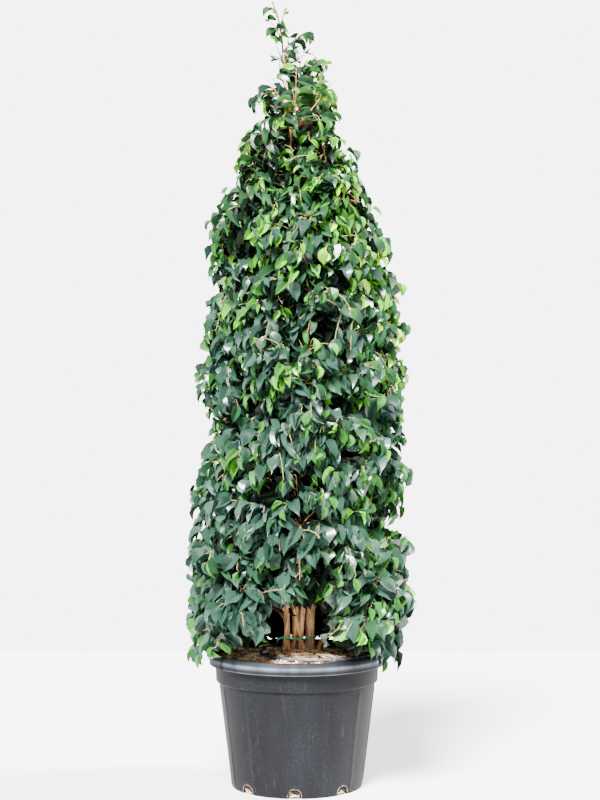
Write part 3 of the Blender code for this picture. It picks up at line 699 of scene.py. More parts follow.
@dataclass
class Crown:
    """The plant's plan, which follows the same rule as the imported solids."""

    axis: float = 0.009
    top: float = 2.235
    lean: float = -0.085
    lean_from: float = 2.05
    ragged: float = 0.045
    outline: tuple[Range, ...] = (
        (0.335, 0.285), (0.45, 0.335), (0.57, 0.352), (0.72, 0.332), (1.20, 0.310), (1.40, 0.295),
        (1.55, 0.270), (1.70, 0.235), (1.82, 0.188), (2.00, 0.125), (2.10, 0.080), (2.235, 0.045),
    )
    centre_share: float = 0.62
    entry_share: float = 0.36
    spray_reach: float = 0.78
    spray_radius: float = 0.0016
    bough_root: float = 0.0072
    bough_taper: float = 0.62
    bough_tip_least: float = 0.0030
    bough_of_stem: float = 0.72
    bough_collar: float = 1.2
    bough_sunk: float = 0.45
    bough_bow: float = 0.02
    stem_past_bough: float = 0.08
    crest_drop: float = 0.07
    crest_rise: float = 0.7
    tip_back: float = 0.006
    tip_taper: float = 0.9
    low_shoot_foot: Vector = Vector((0.060, -0.027, 0.3853))
    low_shoot_tip: Vector = Vector((0.132, -0.074, 0.462))
    low_shoot_rise: float = 0.04
    stems: dict[str, Stem] = field(default_factory=lambda: {
        "stem_leader": Stem((-0.0015, 0.006), (-0.040, 0.002), 2.085, (0.0120, 0.0026), 6.0, 3),
        "stem_right": Stem((0.037, -0.004), (0.070, 0.040), 1.60, (0.0136, 0.0056), 1.3, 3),
        "stem_left": Stem((-0.027, -0.010), (-0.072, 0.030), 1.46, (0.0086, 0.0050), 1.6, 2, knob=True),
        "stem_front": Stem((0.006, -0.021), (0.050, -0.080), 1.20, (0.0065, 0.0046), 0.7, 2),
    })
    tiers: tuple[Tier, ...] = (
        Tier("skirt", 0.53, 0.30, 4, -45, 0.045, 1.05, 0.1, 40),
        Tier("lower", 0.83, 0.31, 4, -90, 0.22, 0.97, 0.5, 40),
        Tier("waist", 1.15, 0.31, 4, -90, 0.19, 0.89, 0.5, 44),
        Tier("middle", 1.45, 0.29, 3, -75, 0.18, 0.84, 0.5, 48),
        Tier("shoulder", 1.71, 0.24, 3, -30, 0.16, 0.82, 0.5, 38),
        Tier("crest", 1.93, 0.20, 2, -80, None, 0.84, 0.4, 16),
        Tier("tip", 2.12, 0.20, 1, 180, None, 0.80, 0.0, 9),
    )

    def reach(self, angle: float, height: float) -> float:
        """The crown's radius towards an angle at a height, a little ragged round its sides."""
        heights, radii = zip(*self.outline)
        plain = float(np.interp(height, heights, radii))
        wave = math.sin(3 * angle + 9 * height) + math.sin(5 * angle - 23 * height)
        return plain * (1 + self.ragged * wave / 2)

    def axis_at(self, height: float) -> float:
        """The crown's axis in plan at a height."""
        share = min(max((height - self.lean_from) / (self.top - self.lean_from), 0), 1)
        return self.axis + self.lean * share

    def spot(self, angle: float, height: float, share: float) -> Vector:
        """A point of the crown at a share of its radius."""
        reach = self.reach(angle, height) * share
        return Vector((self.axis_at(height) + reach * math.cos(angle), reach * math.sin(angle), height))

    def bough(self, tier: Tier, angle: float, height: float) -> Arc:
        """The bough of one mass, from the stem that is furthest out on its side."""
        low = height - tier.drop
        out = heading(angle)
        tall = [stem for stem in self.stems.values() if stem.top > low + self.stem_past_bough]
        parent = max(tall, key=lambda stem: stem.point(low).dot(out))
        start = parent.point(low) + out * (parent.radius(low) * self.bough_sunk)
        end = self.spot(angle, height - self.bough_bow, self.entry_share)
        root = min(self.bough_root, parent.radius(low) * self.bough_of_stem)
        tip = max(root * self.bough_taper, self.bough_tip_least)
        return Arc(start, start.lerp(end, 0.5) + UP * self.bough_bow, end, root, tip)

    def masses(self) -> Iterator[Mass]:
        """Every mass of the crown in order, lowest tier first."""
        leader = self.stems["stem_leader"]
        for tier in self.tiers:
            for k in range(tier.count):
                angle = math.radians(tier.first_angle) + 2 * math.pi * k / tier.count
                height = tier.height + tier.pitch * tier.stagger * (k % 2 - 0.5)
                centre = self.spot(angle, height, self.centre_share if tier.count > 1 else 0)
                bough = None
                if tier is self.tiers[0] and k == 0:
                    foot = self.low_shoot_foot
                    bough = Arc(foot, foot + UP * self.low_shoot_rise, self.low_shoot_tip,
                                self.bough_root, self.bough_root * self.bough_taper)
                elif tier.drop:
                    bough = self.bough(tier, angle, height)
                if bough:
                    start, ahead, root = bough.end, bough.slope(1), bough.tip
                elif tier.count > 1:
                    out = heading(angle)
                    low = height - self.crest_drop
                    start = leader.point(low) + out * (leader.radius(low) * self.bough_sunk)
                    ahead = (out + UP * self.crest_rise).normalized()
                    root = leader.radius(low) * self.bough_of_stem
                else:
                    start, ahead, root = leader.point(leader.top), UP, leader.radii[1]
                if tier.count > 1:
                    end, tip = self.spot(angle, height, self.spray_reach), min(root, self.spray_radius)
                else:
                    end = Vector((self.axis_at(self.top) + self.tip_back, 0, self.top - self.tip_back))
                    tip = root * self.tip_taper
                spray = Arc(start, start + ahead * (end - start).length / 2, end, root, tip)
                yield Mass(f"{tier.label}_{k + 1}", tier, angle, centre, spray, bough)


@dataclass
class Wood:
    """The stems, boughs and pruned knob, with the relief of their bark."""

    crown: Crown
    stem_sides: int = 22
    stem_rings: int = 70
    bough_sides: int = 12
    bough_rings: int = 14
    collar_fall: float = 6.0
    strand_depth: float = 0.16
    strand_twist: float = 1.5
    grain_depth: float = 0.09
    stubs: int = 5
    stub_sides: int = 12
    stub_sizes: Range = (0.0042, 0.0068)
    strand_sides: int = 14
    strand_rings: int = 30
    strand_radii: Range = (0.0056, 0.0042)
    # Foot and bend of each thin stem, then the stem and the height that it has grown into.
    strand_paths: tuple[tuple[tuple[float, ...], tuple[float, ...], str, float], ...] = (
        ((-0.014, -0.018, 0.380), (0.008, -0.064, 0.50), "stem_leader", 0.67),
        ((0.022, -0.018, 0.380), (-0.004, -0.066, 0.49), "stem_left", 0.61),
        ((-0.038, -0.014, 0.380), (-0.030, -0.042, 0.47), "stem_leader", 0.60),
    )

    def relief(self, strands: int, shift: float) -> Callable[[float, float], float]:
        """The rule for one limb's surface: strands grown together, a slow twist and lumps.

        Args:
            strands: how many strands show round the limb.
            shift: a number that sets this limb apart from the others.

        Returns:
            A rule from a turn and a share of the limb to a share of its radius.
        """
        def rule(turn: float, share: float) -> float:
            """One strand's rounded back with a sharp groove beside it, and lumps."""
            strand = abs(math.cos((turn + shift + self.strand_twist * share) * strands / 2)) ** 0.6 - 0.75
            lumps = noise.noise(Vector((math.cos(turn) * 1.6, math.sin(turn) * 1.6, share * 26 + shift)))
            return self.strand_depth * strand + self.grain_depth * lumps

        return rule

    def build_stems(self) -> None:
        """One piece for each stem."""
        for number, (name, stem) in enumerate(self.crown.stems.items()):
            bm = swept(stem.rings(self.stem_rings), self.stem_sides, self.relief(stem.strands, number * 2.3))
            place("bark_" + name, bm, FigBark("fig_bark"), "bark", [name], 180)

    def build_boughs(self, masses: Sequence[Mass]) -> None:
        """All the boughs as one piece, each with a collar where it leaves its stem."""
        swell = self.crown.bough_collar - 1
        whole = bmesh.new()
        for number, mass in enumerate(masses):
            if not mass.bough:
                continue
            rings = [(centre, along,
                      radius * (1 + swell * math.exp(-self.collar_fall * k / self.bough_rings)))
                     for k, (centre, along, radius) in enumerate(mass.bough.rings(self.bough_rings))]
            absorb(whole, swept(rings, self.bough_sides, self.relief(2, number * 1.7)))
        nodes = ["bough_" + mass.name for mass in masses if mass.bough]
        finish = FigBark("fig_bark_bough", "7A5230", "BA8450", "DDB07A")
        place("bark_boughs", whole, finish, "bark", nodes, 180)

    def strands(self) -> list[Arc]:
        """Thin stems that cross in front of the others and have grown into them."""
        return [Arc(Vector(foot), Vector(bend), self.crown.stems[stem].point(height), *self.strand_radii)
                for foot, bend, stem, height in self.strand_paths]

    def build_strands(self) -> None:
        """The crossing stems as one piece."""
        whole = bmesh.new()
        for number, arc in enumerate(self.strands()):
            absorb(whole, swept(arc.rings(self.strand_rings), self.strand_sides,
                                self.relief(2, number * 1.3)))
        place("bark_strands", whole, FigBark("fig_bark_strand", "8A5830", "D09A60", "F4CE98"), "bark")

    def build_knob(self) -> None:
        """Short pruned stubs round the swollen head of the left stem."""
        stem = self.crown.stems["stem_left"]
        rng = random.Random(SEED)
        whole = bmesh.new()
        for k in range(self.stubs):
            angle = -1.9 + 2.4 * k / self.stubs + rng.uniform(-0.15, 0.15)
            height = stem.knob_height + rng.uniform(-0.016, 0.024)
            out = Vector((math.cos(angle), math.sin(angle), rng.uniform(0.1, 0.7))).normalized()
            centre = stem.point(height) + out * stem.radius(height) * 0.55
            size = rng.uniform(*self.stub_sizes)
            rings = [(centre + out * size * 1.35 * t, out, size * (1.25 - 0.35 * t))
                     for t in (0, 0.3, 0.6, 0.9, 1.0)]
            part = swept(rings, self.stub_sides, self.relief(3, k * 1.1))
            rim = [face for face in part.faces
                   if len(face.verts) == self.stub_sides and face.normal.dot(out) > 0.9]
            bmesh.ops.inset_region(part, faces=rim, thickness=size * 0.18, depth=-size * 0.08)
            absorb(whole, part)
        place("bark_pruned_knob", whole, FigBark("fig_bark_knob", "74401E", "BC7436", "E2A862"), "bark")

    def build(self, masses: Sequence[Mass]) -> None:
        """Every woody piece thicker than a twig."""
        self.build_stems()
        self.build_boughs(masses)
        self.build_strands()
        self.build_knob()


# Foliage ------------------------------------------------------------------------------


@dataclass
class Room:
    """The room of one mass: its share of the crown, clear of limbs, rim and doorway."""

    crown: Crown
    centre: Vector
    others: np.ndarray
    limb_starts: np.ndarray
    limb_runs: np.ndarray
    limb_radii: np.ndarray
    spill: float = 0.060
    leaf_spill: float = 0.10
    rim_clear: float = 0.394
    skirt_radius: float = 0.262
    skirt_hem: float = 0.338
    leaf_below_rim: float = 0.006
    under_top: float = 0.0068
    leaf_under_top: float = 0.018
    limb_gap: float = 0.001
    # Where the front starts, and the least height there by distance from the middle.
    front: float = -0.05
    front_hems: tuple[Range, ...] = (
        (0.0, 0.45), (0.12, 0.43), (0.15, 0.392), (0.225, 0.392), (0.23, 0.3),
    )
    door_half_width: float = 0.085
    door_top: float = 0.565
    # Reach of the crown to its left and right, by height.
    sides: tuple[tuple[float, float, float], ...] = (
        (0.34, 0.28, 0.28), (0.44, 0.33, 0.31), (0.56, 0.33, 0.34), (0.70, 0.30, 0.30), (0.88, 0.29, 0.30),
        (0.98, 0.22, 0.31), (1.12, 0.31, 0.30), (1.24, 0.25, 0.28), (1.38, 0.27, 0.29), (1.52, 0.26, 0.26),
        (1.64, 0.25, 0.22), (1.74, 0.19, 0.17), (1.90, 0.15, 0.11), (2.04, 0.11, 0.11), (2.24, 0.03, 0.03),
    )
    bulge: float = 0.13
    # Share of the reach that sprays may take, by height.
    drawn_in: tuple[Range, ...] = ((0.45, 0.98), (1.0, 0.93), (1.7, 0.90), (1.9, 0.84), (2.1, 0.95))
    box_clear: float = 0.034

    def reach(self, angle: np.ndarray, height: np.ndarray) -> np.ndarray:
        """The crown's radius towards angles at heights, drawn in or out at its two sides."""
        heights, radii = zip(*self.crown.outline)
        rows, left, right = zip(*self.sides)
        plain = np.interp(height, heights, radii)
        side = np.where(np.cos(angle) > 0, np.interp(height, rows, right), np.interp(height, rows, left))
        lean = np.cos(angle) ** 4
        wave = np.sin(3 * angle + 9 * height) + np.sin(5 * angle - 23 * height)
        folds = np.sin(9 * angle + 17 * height) * np.sin(5 * angle - 37 * height) - 0.5
        rough = self.crown.ragged * wave / 2 + self.bulge * folds
        drawn = np.interp(height, *zip(*self.drawn_in))
        return (plain * (1 - lean) + side * lean) * (1 + rough * (1 - 0.7 * lean)) * drawn

    def holds(self, points: np.ndarray, gap: float = 0.0, hangs: bool = False,
              stretch: np.ndarray | float = 1.0) -> np.ndarray:
        """Which points are in the room.

        Args:
            points: an array of places, one row each.
            gap: clearance to keep from limbs and the crown's outline.
            hangs: whether the points are leaf tips, which may hang a little out of the room.
            stretch: how far out each point's spray may go, as a share of the crown's reach.

        Returns:
            An array of truth values.
        """
        own = np.array(self.centre[:])
        normals = self.others - own
        lengths = np.linalg.norm(normals, axis=1)
        normals = normals / lengths[:, None]
        offsets = (normals * (self.others + own) / 2).sum(1)
        spill = self.leaf_spill if hangs else self.spill
        good = (points @ normals.T < offsets + spill).all(1)
        x, y, z = points.T
        share = np.clip((z - self.crown.lean_from) / (self.crown.top - self.crown.lean_from), 0, 1)
        dx = x - (self.crown.axis + self.crown.lean * share)
        under_top = self.leaf_under_top if hangs else self.under_top
        good &= (z > self.skirt_hem) & (z < self.crown.top - under_top)
        low, high = (np.array(corner) for corner in FRAME_BOX)
        edge = self.box_clear if hangs else self.box_clear / 2
        good &= (points[:, :2] > low[:2] + edge).all(1) & (points[:, :2] < high[:2] - edge).all(1)
        good &= np.hypot(dx, y) < self.reach(np.arctan2(y, dx), z) * stretch - gap
        rim = self.rim_clear + (-self.leaf_below_rim if hangs else gap)
        good &= (np.hypot(x, y) > self.skirt_radius) | (z > rim)
        good &= (y > self.front) | (z > np.interp(np.abs(x), *zip(*self.front_hems)))
        if not hangs:
            good &= (y > 0) | (np.abs(x) > self.door_half_width) | (z > self.door_top)
        else:
            good &= (y > 0) | (np.abs(x) > self.door_half_width * 0.8) | (z > self.door_top - 0.045)
        away = points[:, None, :] - self.limb_starts[None]
        run2 = (self.limb_runs ** 2).sum(1)
        t = np.clip((away * self.limb_runs).sum(2) / run2, 0, 1)
        distance = np.linalg.norm(away - t[..., None] * self.limb_runs[None], axis=2)
        return good & (distance > self.limb_radii + gap + self.limb_gap).all(1)


@dataclass
class LeafForm:
    """The shape of one leaf a metre long, which is scaled and turned for each that grows."""

    width: float
    fold: float
    bend: float
    sway: float
    wave: float
    # Half width along the blade: elliptic, with a short drip tip.
    half_widths: tuple[Range, ...] = (
        (0.0, 0.04), (0.07, 0.44), (0.20, 0.84), (0.38, 1.0), (0.56, 0.91), (0.71, 0.62), (0.83, 0.27),
        (0.92, 0.10), (1.0, 0.012),
    )

    def spine(self, share: float) -> Range:
        """How far a share of the midrib lies along the blade's first heading, and above it."""
        turn = self.bend * share
        return math.sin(turn) / self.bend, (math.cos(turn) - 1) / self.bend

    def arrays(self, rows: tuple[float, ...]) -> tuple[np.ndarray, np.ndarray, np.ndarray]:
        """Shapes a grid into the blade.

        Args:
            rows: the shares of the blade at which it has a row of points.

        Returns:
            Places as (across, along, up), quads, and the map place of each point.
        """
        bm = bmesh.new()
        bmesh.ops.create_grid(bm, x_segments=2, y_segments=len(rows) - 1, size=0.5)
        # The midrib is split, so that its fold stays sharp under smooth shading.
        bmesh.ops.split_edges(bm, edges=[edge for edge in bm.edges
                                         if all(abs(vert.co.x) < 0.01 for vert in edge.verts)])
        bm.verts.index_update()
        shares, halves = zip(*self.half_widths)
        across = np.empty((len(bm.verts), 2))
        for vert in bm.verts:
            u = vert.co.x * 2
            v = rows[round((vert.co.y + 0.5) * (len(rows) - 1))]
            across[vert.index] = (u / 2 + 0.5, v)
            half = float(np.interp(v, shares, halves)) * self.width / 2
            rise = self.fold * abs(u) + self.wave * math.sin(9 * v) * u
            turn = self.bend * v
            along = Vector((0, *self.spine(v)))
            normal = Vector((0, math.sin(turn), math.cos(turn)))
            vert.co = Vector((half * u + self.sway * v * v, 0, 0)) + along + normal * rise * half * 2
        points = np.array([vert.co[:] for vert in bm.verts])
        quads = np.array([[vert.index for vert in face.verts] for face in bm.faces])
        bm.free()
        return points, quads, across


class Leaf(NamedTuple):
    """One leaf: its tone, the foot of its stalk, and its blade's root, headings, size and form."""

    tint: Tint
    foot: Vector
    root: Vector
    hang: Vector
    face: Vector
    length: float
    width: float
    form: int


@dataclass
class Shoots:
    """The twigs and leaves of the whole crown, gathered before they are joined."""

    twigs: list[Arc] = field(default_factory=list)
    shoots: list[Arc] = field(default_factory=list)
    stalks: list[Arc] = field(default_factory=list)
    leaves: dict[Tint, list[Leaf]] = field(default_factory=lambda: {tint: [] for tint in Tint})
    stalk_radii: Range = (0.0007, 0.0005)

    def keep(self, leaf: Leaf) -> None:
        """Takes in one leaf and its stalk."""
        self.leaves[leaf.tint].append(leaf)
        self.stalks.append(Arc(leaf.foot, leaf.foot.lerp(leaf.root, 0.5), leaf.root, *self.stalk_radii))


@dataclass
class Foliage:
    """The masses of foliage: seeded twigs, finer shoots and hanging leaves."""

    crown: Crown
    bud_span: float = 1.25
    bud_lift: float = 0.035
    bud_share: Range = (0.70, 0.99)
    inner_share: Range = (0.36, 0.60)
    inner_part: float = 0.65
    bud_tries: int = 700
    bud_spacing: float = 0.046
    twig_arch: float = 0.16
    twig_bow: float = 0.12
    twig_radii: Range = (0.0018, 0.0009)
    shoot_radii: Range = (0.0012, 0.0007)
    shoot_places: tuple[float, ...] = (0.30, 0.46, 0.62, 0.78, 0.93)
    shoot_length: Range = (0.055, 0.115)
    internode: float = 0.0165
    leaf_length: Range = (0.052, 0.074)
    leaf_width: float = 0.53
    stalk: float = 0.010
    shaded_share: float = 0.60
    tip_rise: float = 0.045
    leaves_a_piece: int = 5900
    blade_rows: tuple[float, ...] = (0.0, 0.07, 0.20, 0.38, 0.56, 0.71, 0.83, 0.92, 1.0)
    shaded_rows: tuple[float, ...] = (0.0, 0.12, 0.38, 0.71, 0.88, 1.0)
    leaf_stretch: float = 0.03
    stretches: tuple[float, ...] = (0.74, 0.80, 0.85, 0.89, 0.93, 0.97, 1.02, 1.09, 1.17)
    door_shoots: tuple[tuple[Vector, Vector], ...] = (
        (Vector((0.027, -0.054, 0.600)), Vector((0.032, -0.105, 0.548))),
        (Vector((-0.034, -0.008, 0.590)), Vector((-0.014, -0.075, 0.520))),
    )
    forms: tuple[LeafForm, ...] = (
        LeafForm(1.02, 0.30, 0.55, 0.00, 0.09), LeafForm(0.98, 0.22, 0.85, 0.05, 0.12),
        LeafForm(0.98, 0.38, 0.65, -0.05, -0.10), LeafForm(0.92, 0.28, 1.20, 0.04, 0.09),
        LeafForm(0.90, 0.46, 0.90, -0.06, 0.12), LeafForm(1.08, 0.18, 0.35, 0.06, -0.12),
        LeafForm(0.66, 0.40, 1.70, 0.03, 0.08), LeafForm(0.72, 0.34, 1.30, -0.05, 0.11),
    )
    arched_forms: tuple[int, ...] = (3, 6, 7, 6, 7)
    arched_above: float = 1.62
    shaded_below: float = 1.74

    def tints(self, spot: Vector, inner: bool, rng: random.Random) -> tuple[Tint, Tint]:
        """The tones of one spray: that of its grown leaves, and that of its newest ones.

        Args:
            spot: where the spray ends.
            inner: whether it belongs to the shaded inside of the crown.
            rng: the mass's own numbers.

        Returns:
            The grown tone and the new tone.
        """
        # The tones are painted light by place: sprays higher up and further right get lighter, yellower
        # greens, as if lit from above and the right, and those low at the left get darker blue-greens.
        sunny = 0.11 + 0.72 * spot.x + 0.36 * (spot.z - 1.0) + rng.uniform(-0.24, 0.24)
        if inner:
            return (Tint.SHADE, Tint.SHADE)
        if sunny > 0.66:
            return rng.choice(((Tint.FRESH, Tint.TIP), (Tint.MID, Tint.YOUNG), (Tint.FRESH, Tint.YOUNG)))
        if sunny > 0.42:
            return rng.choice(((Tint.MID, Tint.FRESH), (Tint.DEEP, Tint.YOUNG), (Tint.DEEP, Tint.FRESH)))
        if sunny > 0.14:
            return rng.choice(((Tint.DEEP, Tint.MID), (Tint.DEEP, Tint.FRESH), (Tint.BLUE, Tint.MID)))
        return rng.choice(((Tint.BLUE, Tint.DEEP), (Tint.BLUE, Tint.MID), (Tint.BLUE, Tint.BLUE)))

    def in_shade(self, root: Vector) -> bool:
        """Whether a leaf is too far inside the crown to catch the light."""
        reach = self.crown.reach(math.atan2(root.y, root.x), root.z) * self.shaded_share
        return root.z < self.shaded_below and math.hypot(root.x - self.crown.axis_at(root.z), root.y) < reach

    def leaf_rows(self, twig: Arc, out: Vector, scale: float, first: float, tints: tuple[Tint, Tint],
                  rng: random.Random) -> Iterator[Leaf]:
        """Leaves along a twig, on alternate sides, smaller and newer towards its tip.

        Args:
            twig: what they grow on.
            out: the level direction away from the crown's axis.
            scale: size of the leaves.
            first: share of the twig where they start.
            tints: grown and new tones.
            rng: the mass's own numbers.

        Yields:
            Each leaf.
        """
        count = max(2, round(twig.length() * (1 - first) / (self.internode * scale ** 0.5)))
        level = out.cross(UP)
        for k in range(count + 1):
            t = first + (1 - first) * k / count
            side = (-1) ** k
            newness = max(0.0, (k - count + 2) / 2)
            length = rng.uniform(*self.leaf_length) * scale * (1 - 0.36 * newness)
            slope = twig.slope(t)
            beside = (slope.cross(UP) * 0.7 - level * 0.3).normalized() * side
            foot = twig.point(t)
            spread = rng.uniform(0.1, 0.95) if k < count else 0.1
            stalk = (slope * 0.5 + beside * 0.7 + out * 0.2 + UP * rng.uniform(-0.2, 0.3)).normalized()
            root = foot + stalk * self.stalk * scale * rng.uniform(0.7, 1.2)
            lift = rng.uniform(0.1, 0.75)
            arched = root.z > self.arched_above
            form = rng.choice(self.arched_forms) if arched else rng.randrange(len(self.forms))
            fall = max(0.05, 1.12 - 0.45 * lift - 0.55 * self.forms[form].bend)
            hang = slope * 0.25 + out * lift * rng.uniform(0.3, 1.0) + beside * spread - UP * fall
            hang.normalize()
            face = out * 0.8 + UP * rng.uniform(0.15, 1.1) + level * rng.gauss(0, 0.62)
            face = (face - hang * face.dot(hang)).normalized()
            width = length * self.leaf_width * (1 - 0.12 * newness) * rng.uniform(0.9, 1.12)
            tint = tints[1] if newness > 0.4 else tints[0]
            tint = Tint.SHADE if self.in_shade(root) else tint
            yield Leaf(tint, foot, root, hang, face, length, width, form)

    def tip_start(self, spray: Arc, height: float) -> Vector:
        """Where a twig of the topmost mass leaves the leader or the leader's last shoot."""
        leader = self.crown.stems["stem_leader"]
        if height < leader.top:
            return leader.point(height)
        return spray.point(min(0.97, (height - leader.top) / (spray.end.z - leader.top)))

    def grow(self, mass: Mass, room: Room, shoots: Shoots, rng: random.Random) -> int:
        """Grows one mass.

        Args:
            mass: its plan.
            room: the space that it keeps to.
            shoots: where its twigs and leaves are gathered.
            rng: its own numbers.

        Returns:
            How many leaves it has.
        """
        tier, scale = mass.tier, mass.tier.leaf_scale
        shoots.twigs.append(mass.spray)
        sector = 2 * math.pi / tier.count * self.bud_span
        taken: list[Vector] = []
        leaves: list[Leaf] = []
        stretches: list[float] = []
        number = rng.randrange(100)
        inside = round(tier.twigs * self.inner_part) if tier.height < 1.9 else 0
        depths = [self.bud_share] * tier.twigs + [self.inner_share] * inside
        for _ in range(self.bud_tries):
            number += 1
            depth = depths[len(taken)]
            turn = mass.angle + sector * ((number * SPREAD[0]) % 1 - 0.5)
            rise = tier.pitch * self.bud_span * ((number * SPREAD[1]) % 1 - 0.5)
            height = mass.centre.z + rise + self.bud_lift
            stretch = rng.choice(self.stretches)
            share = rng.uniform(*depth) * stretch
            axis = self.crown.axis_at(height)
            reach = float(room.reach(np.array([turn]), np.array([height]))[0]) * share
            bud = Vector((axis + reach * math.cos(turn), reach * math.sin(turn), height))
            if any((bud - other).length < self.bud_spacing * scale for other in taken):
                continue
            if tier.count > 1:
                start = mass.spray.point(min(0.97, max(0.15, rng.gauss(0.55, 0.25))))
            else:
                start = self.tip_start(mass.spray, height - self.tip_rise)
            out = Vector((bud.x - axis, bud.y, 0)).normalized()
            arch = (UP * self.twig_arch + out * self.twig_bow) * (bud - start).length
            twig = Arc(start, start.lerp(bud, 0.5) + arch, bud, *self.twig_radii)
            path = np.array([twig.point(t)[:] for t in (0.2, 0.4, 0.6, 0.8, 1)])
            if not room.holds(path, 0.002, stretch=stretch).all():
                continue
            before = len(leaves)
            taken.append(bud)
            shoots.twigs.append(twig)
            tints = self.tints(bud, depth is self.inner_share, rng)
            leaves += self.leaf_rows(twig, out, scale, 0.2, tints, rng)
            for k, t in enumerate(self.shoot_places if tier.count > 1 else self.shoot_places[1::2]):
                side = (-1) ** k
                away = (out.cross(UP) * side * rng.uniform(0.4, 1.0) + twig.slope(t) * 0.5
                        + out * rng.uniform(0.1, 0.7) + UP * rng.uniform(-0.1, 0.45)).normalized()
                length = rng.uniform(*self.shoot_length) * scale
                foot = twig.point(t)
                tip = foot + away * length - UP * length * rng.uniform(0.25, 0.8)
                if not room.holds(np.array([tip[:]]), 0.004, stretch=stretch)[0]:
                    continue
                shoot = Arc(foot, foot + away * length * 0.65, tip, *self.shoot_radii)
                shoots.shoots.append(shoot)
                leaves += self.leaf_rows(shoot, out, scale, 0.22, tints, rng)
            stretches += [stretch] * (len(leaves) - before)
            if len(taken) >= len(depths):
                break
        if tier.count == 1:
            leaves += self.leaf_rows(mass.spray, Vector((-1, -0.3, 0)).normalized(), scale, 0.1,
                                     (Tint.MID, Tint.FRESH), rng)
        limit = np.array(stretches + [1.0] * (len(leaves) - len(stretches)))
        good = room.holds(np.array([leaf.root[:] for leaf in leaves]), stretch=limit)
        for share in (0.5, 1.0):
            spines = [form.spine(share) for form in self.forms]
            spots = np.array([(leaf.root + (leaf.hang * spines[leaf.form][0]
                                            + leaf.face * spines[leaf.form][1]) * leaf.length)[:]
                              for leaf in leaves])
            good &= room.holds(spots, hangs=True, stretch=limit + self.leaf_stretch)
        for leaf, kept in zip(leaves, good):
            if kept:
                shoots.keep(leaf)
        return int(good.sum())

    def leaf_mesh(self, name: str, leaves: Sequence[Leaf], rows: tuple[float, ...]) -> bpy.types.Mesh:
        """Joins the leaves of one tone.

        Args:
            name: the mesh's name.
            leaves: the leaves.
            rows: the shares of the blade at which it has a row of points.

        Returns:
            Their mesh, with a map along each blade.
        """
        points, quads, across, used = [], [], [], 0
        for number, form in enumerate(self.forms):
            own = [leaf for leaf in leaves if leaf.form == number]
            if not own:
                continue
            shape, faces, places = form.arrays(rows)
            root, hang, face = (np.array([getattr(leaf, part)[:] for leaf in own])
                                for part in ("root", "hang", "face"))
            length, width = (np.array([getattr(leaf, part) for leaf in own])[:, None, None]
                             for part in ("length", "width"))
            beside = np.cross(hang, face)
            made = (root[:, None] + beside[:, None] * shape[None, :, :1] * width
                    + hang[:, None] * shape[None, :, 1:2] * length
                    + face[:, None] * shape[None, :, 2:] * length)
            offsets = used + np.arange(len(own)) * len(shape)
            points.append(made.reshape(-1, 3))
            quads.append((faces[None] + offsets[:, None, None]).reshape(-1, 4))
            across.append(np.tile(places, (len(own), 1)))
            used += len(own) * len(shape)
        return array_mesh(name, np.concatenate(points), np.concatenate(quads), np.concatenate(across))

    def build(self, masses: Sequence[Mass]) -> None:
        """Grows every mass and joins what grew, each kind and tone apart."""
        paths = [stem.rings(14) for stem in self.crown.stems.values()]
        paths += [mass.bough.rings(5) for mass in masses if mass.bough]
        limbs = [pair for rings in paths for pair in zip(rings, rings[1:])]
        starts = np.array([low[0][:] for low, _ in limbs])
        runs = np.array([high[0][:] for _, high in limbs]) - starts
        radii = np.array([max(low[2], high[2]) for low, high in limbs])
        shoots = Shoots()
        for order, mass in enumerate(masses):
            others = np.array([other.centre[:] for other in masses if other is not mass])
            room = Room(self.crown, mass.centre, others, starts, runs, radii)
            count = self.grow(mass, room, shoots, random.Random(SEED * 1000 + order))
            LOG.info("foliage_%s: %d leaves", mass.name, count)
        rng = random.Random(SEED + 3)
        for foot, tip in self.door_shoots:
            shoot = Arc(foot, foot.lerp(tip, 0.5) + UP * 0.012, tip, *self.shoot_radii)
            shoots.shoots.append(shoot)
            for leaf in self.leaf_rows(shoot, Vector((0, -1, 0)), 0.95, 0.6, (Tint.DEEP, Tint.MID), rng):
                shoots.keep(leaf)
        nodes = ["foliage_" + mass.name for mass in masses]
        adopt("twigs", joined_arcs("twigs", shoots.twigs, 6, 6), TwigBark("fig_twig_bark"), "bark", nodes)
        adopt("shoots", joined_arcs("shoots", shoots.shoots, 4, 4),
              TwigBark("fig_shoot_bark", "7D7A3A", "A89A55", 0.5), "bark")
        adopt("leaf_stalks", joined_arcs("leaf_stalks", shoots.stalks, 2, 3),
              TwigBark("fig_leaf_stalk", "8FA052", "B4BC6E", 0.5), "foliage")
        for tint, leaves in shoots.leaves.items():
            leaves.sort(key=lambda leaf: leaf.root.z)
            rows = self.shaded_rows if tint is Tint.SHADE else self.blade_rows
            count = math.ceil(len(leaves) / self.leaves_a_piece)
            for k in range(count):
                own = leaves[len(leaves) * k // count:len(leaves) * (k + 1) // count]
                name = f"leaves_{tint.name.lower()}_{k + 1}"
                adopt(name, self.leaf_mesh(name, own, rows), tint.value, "foliage")


# Medium, watering ring and tie --------------------------------------------------------


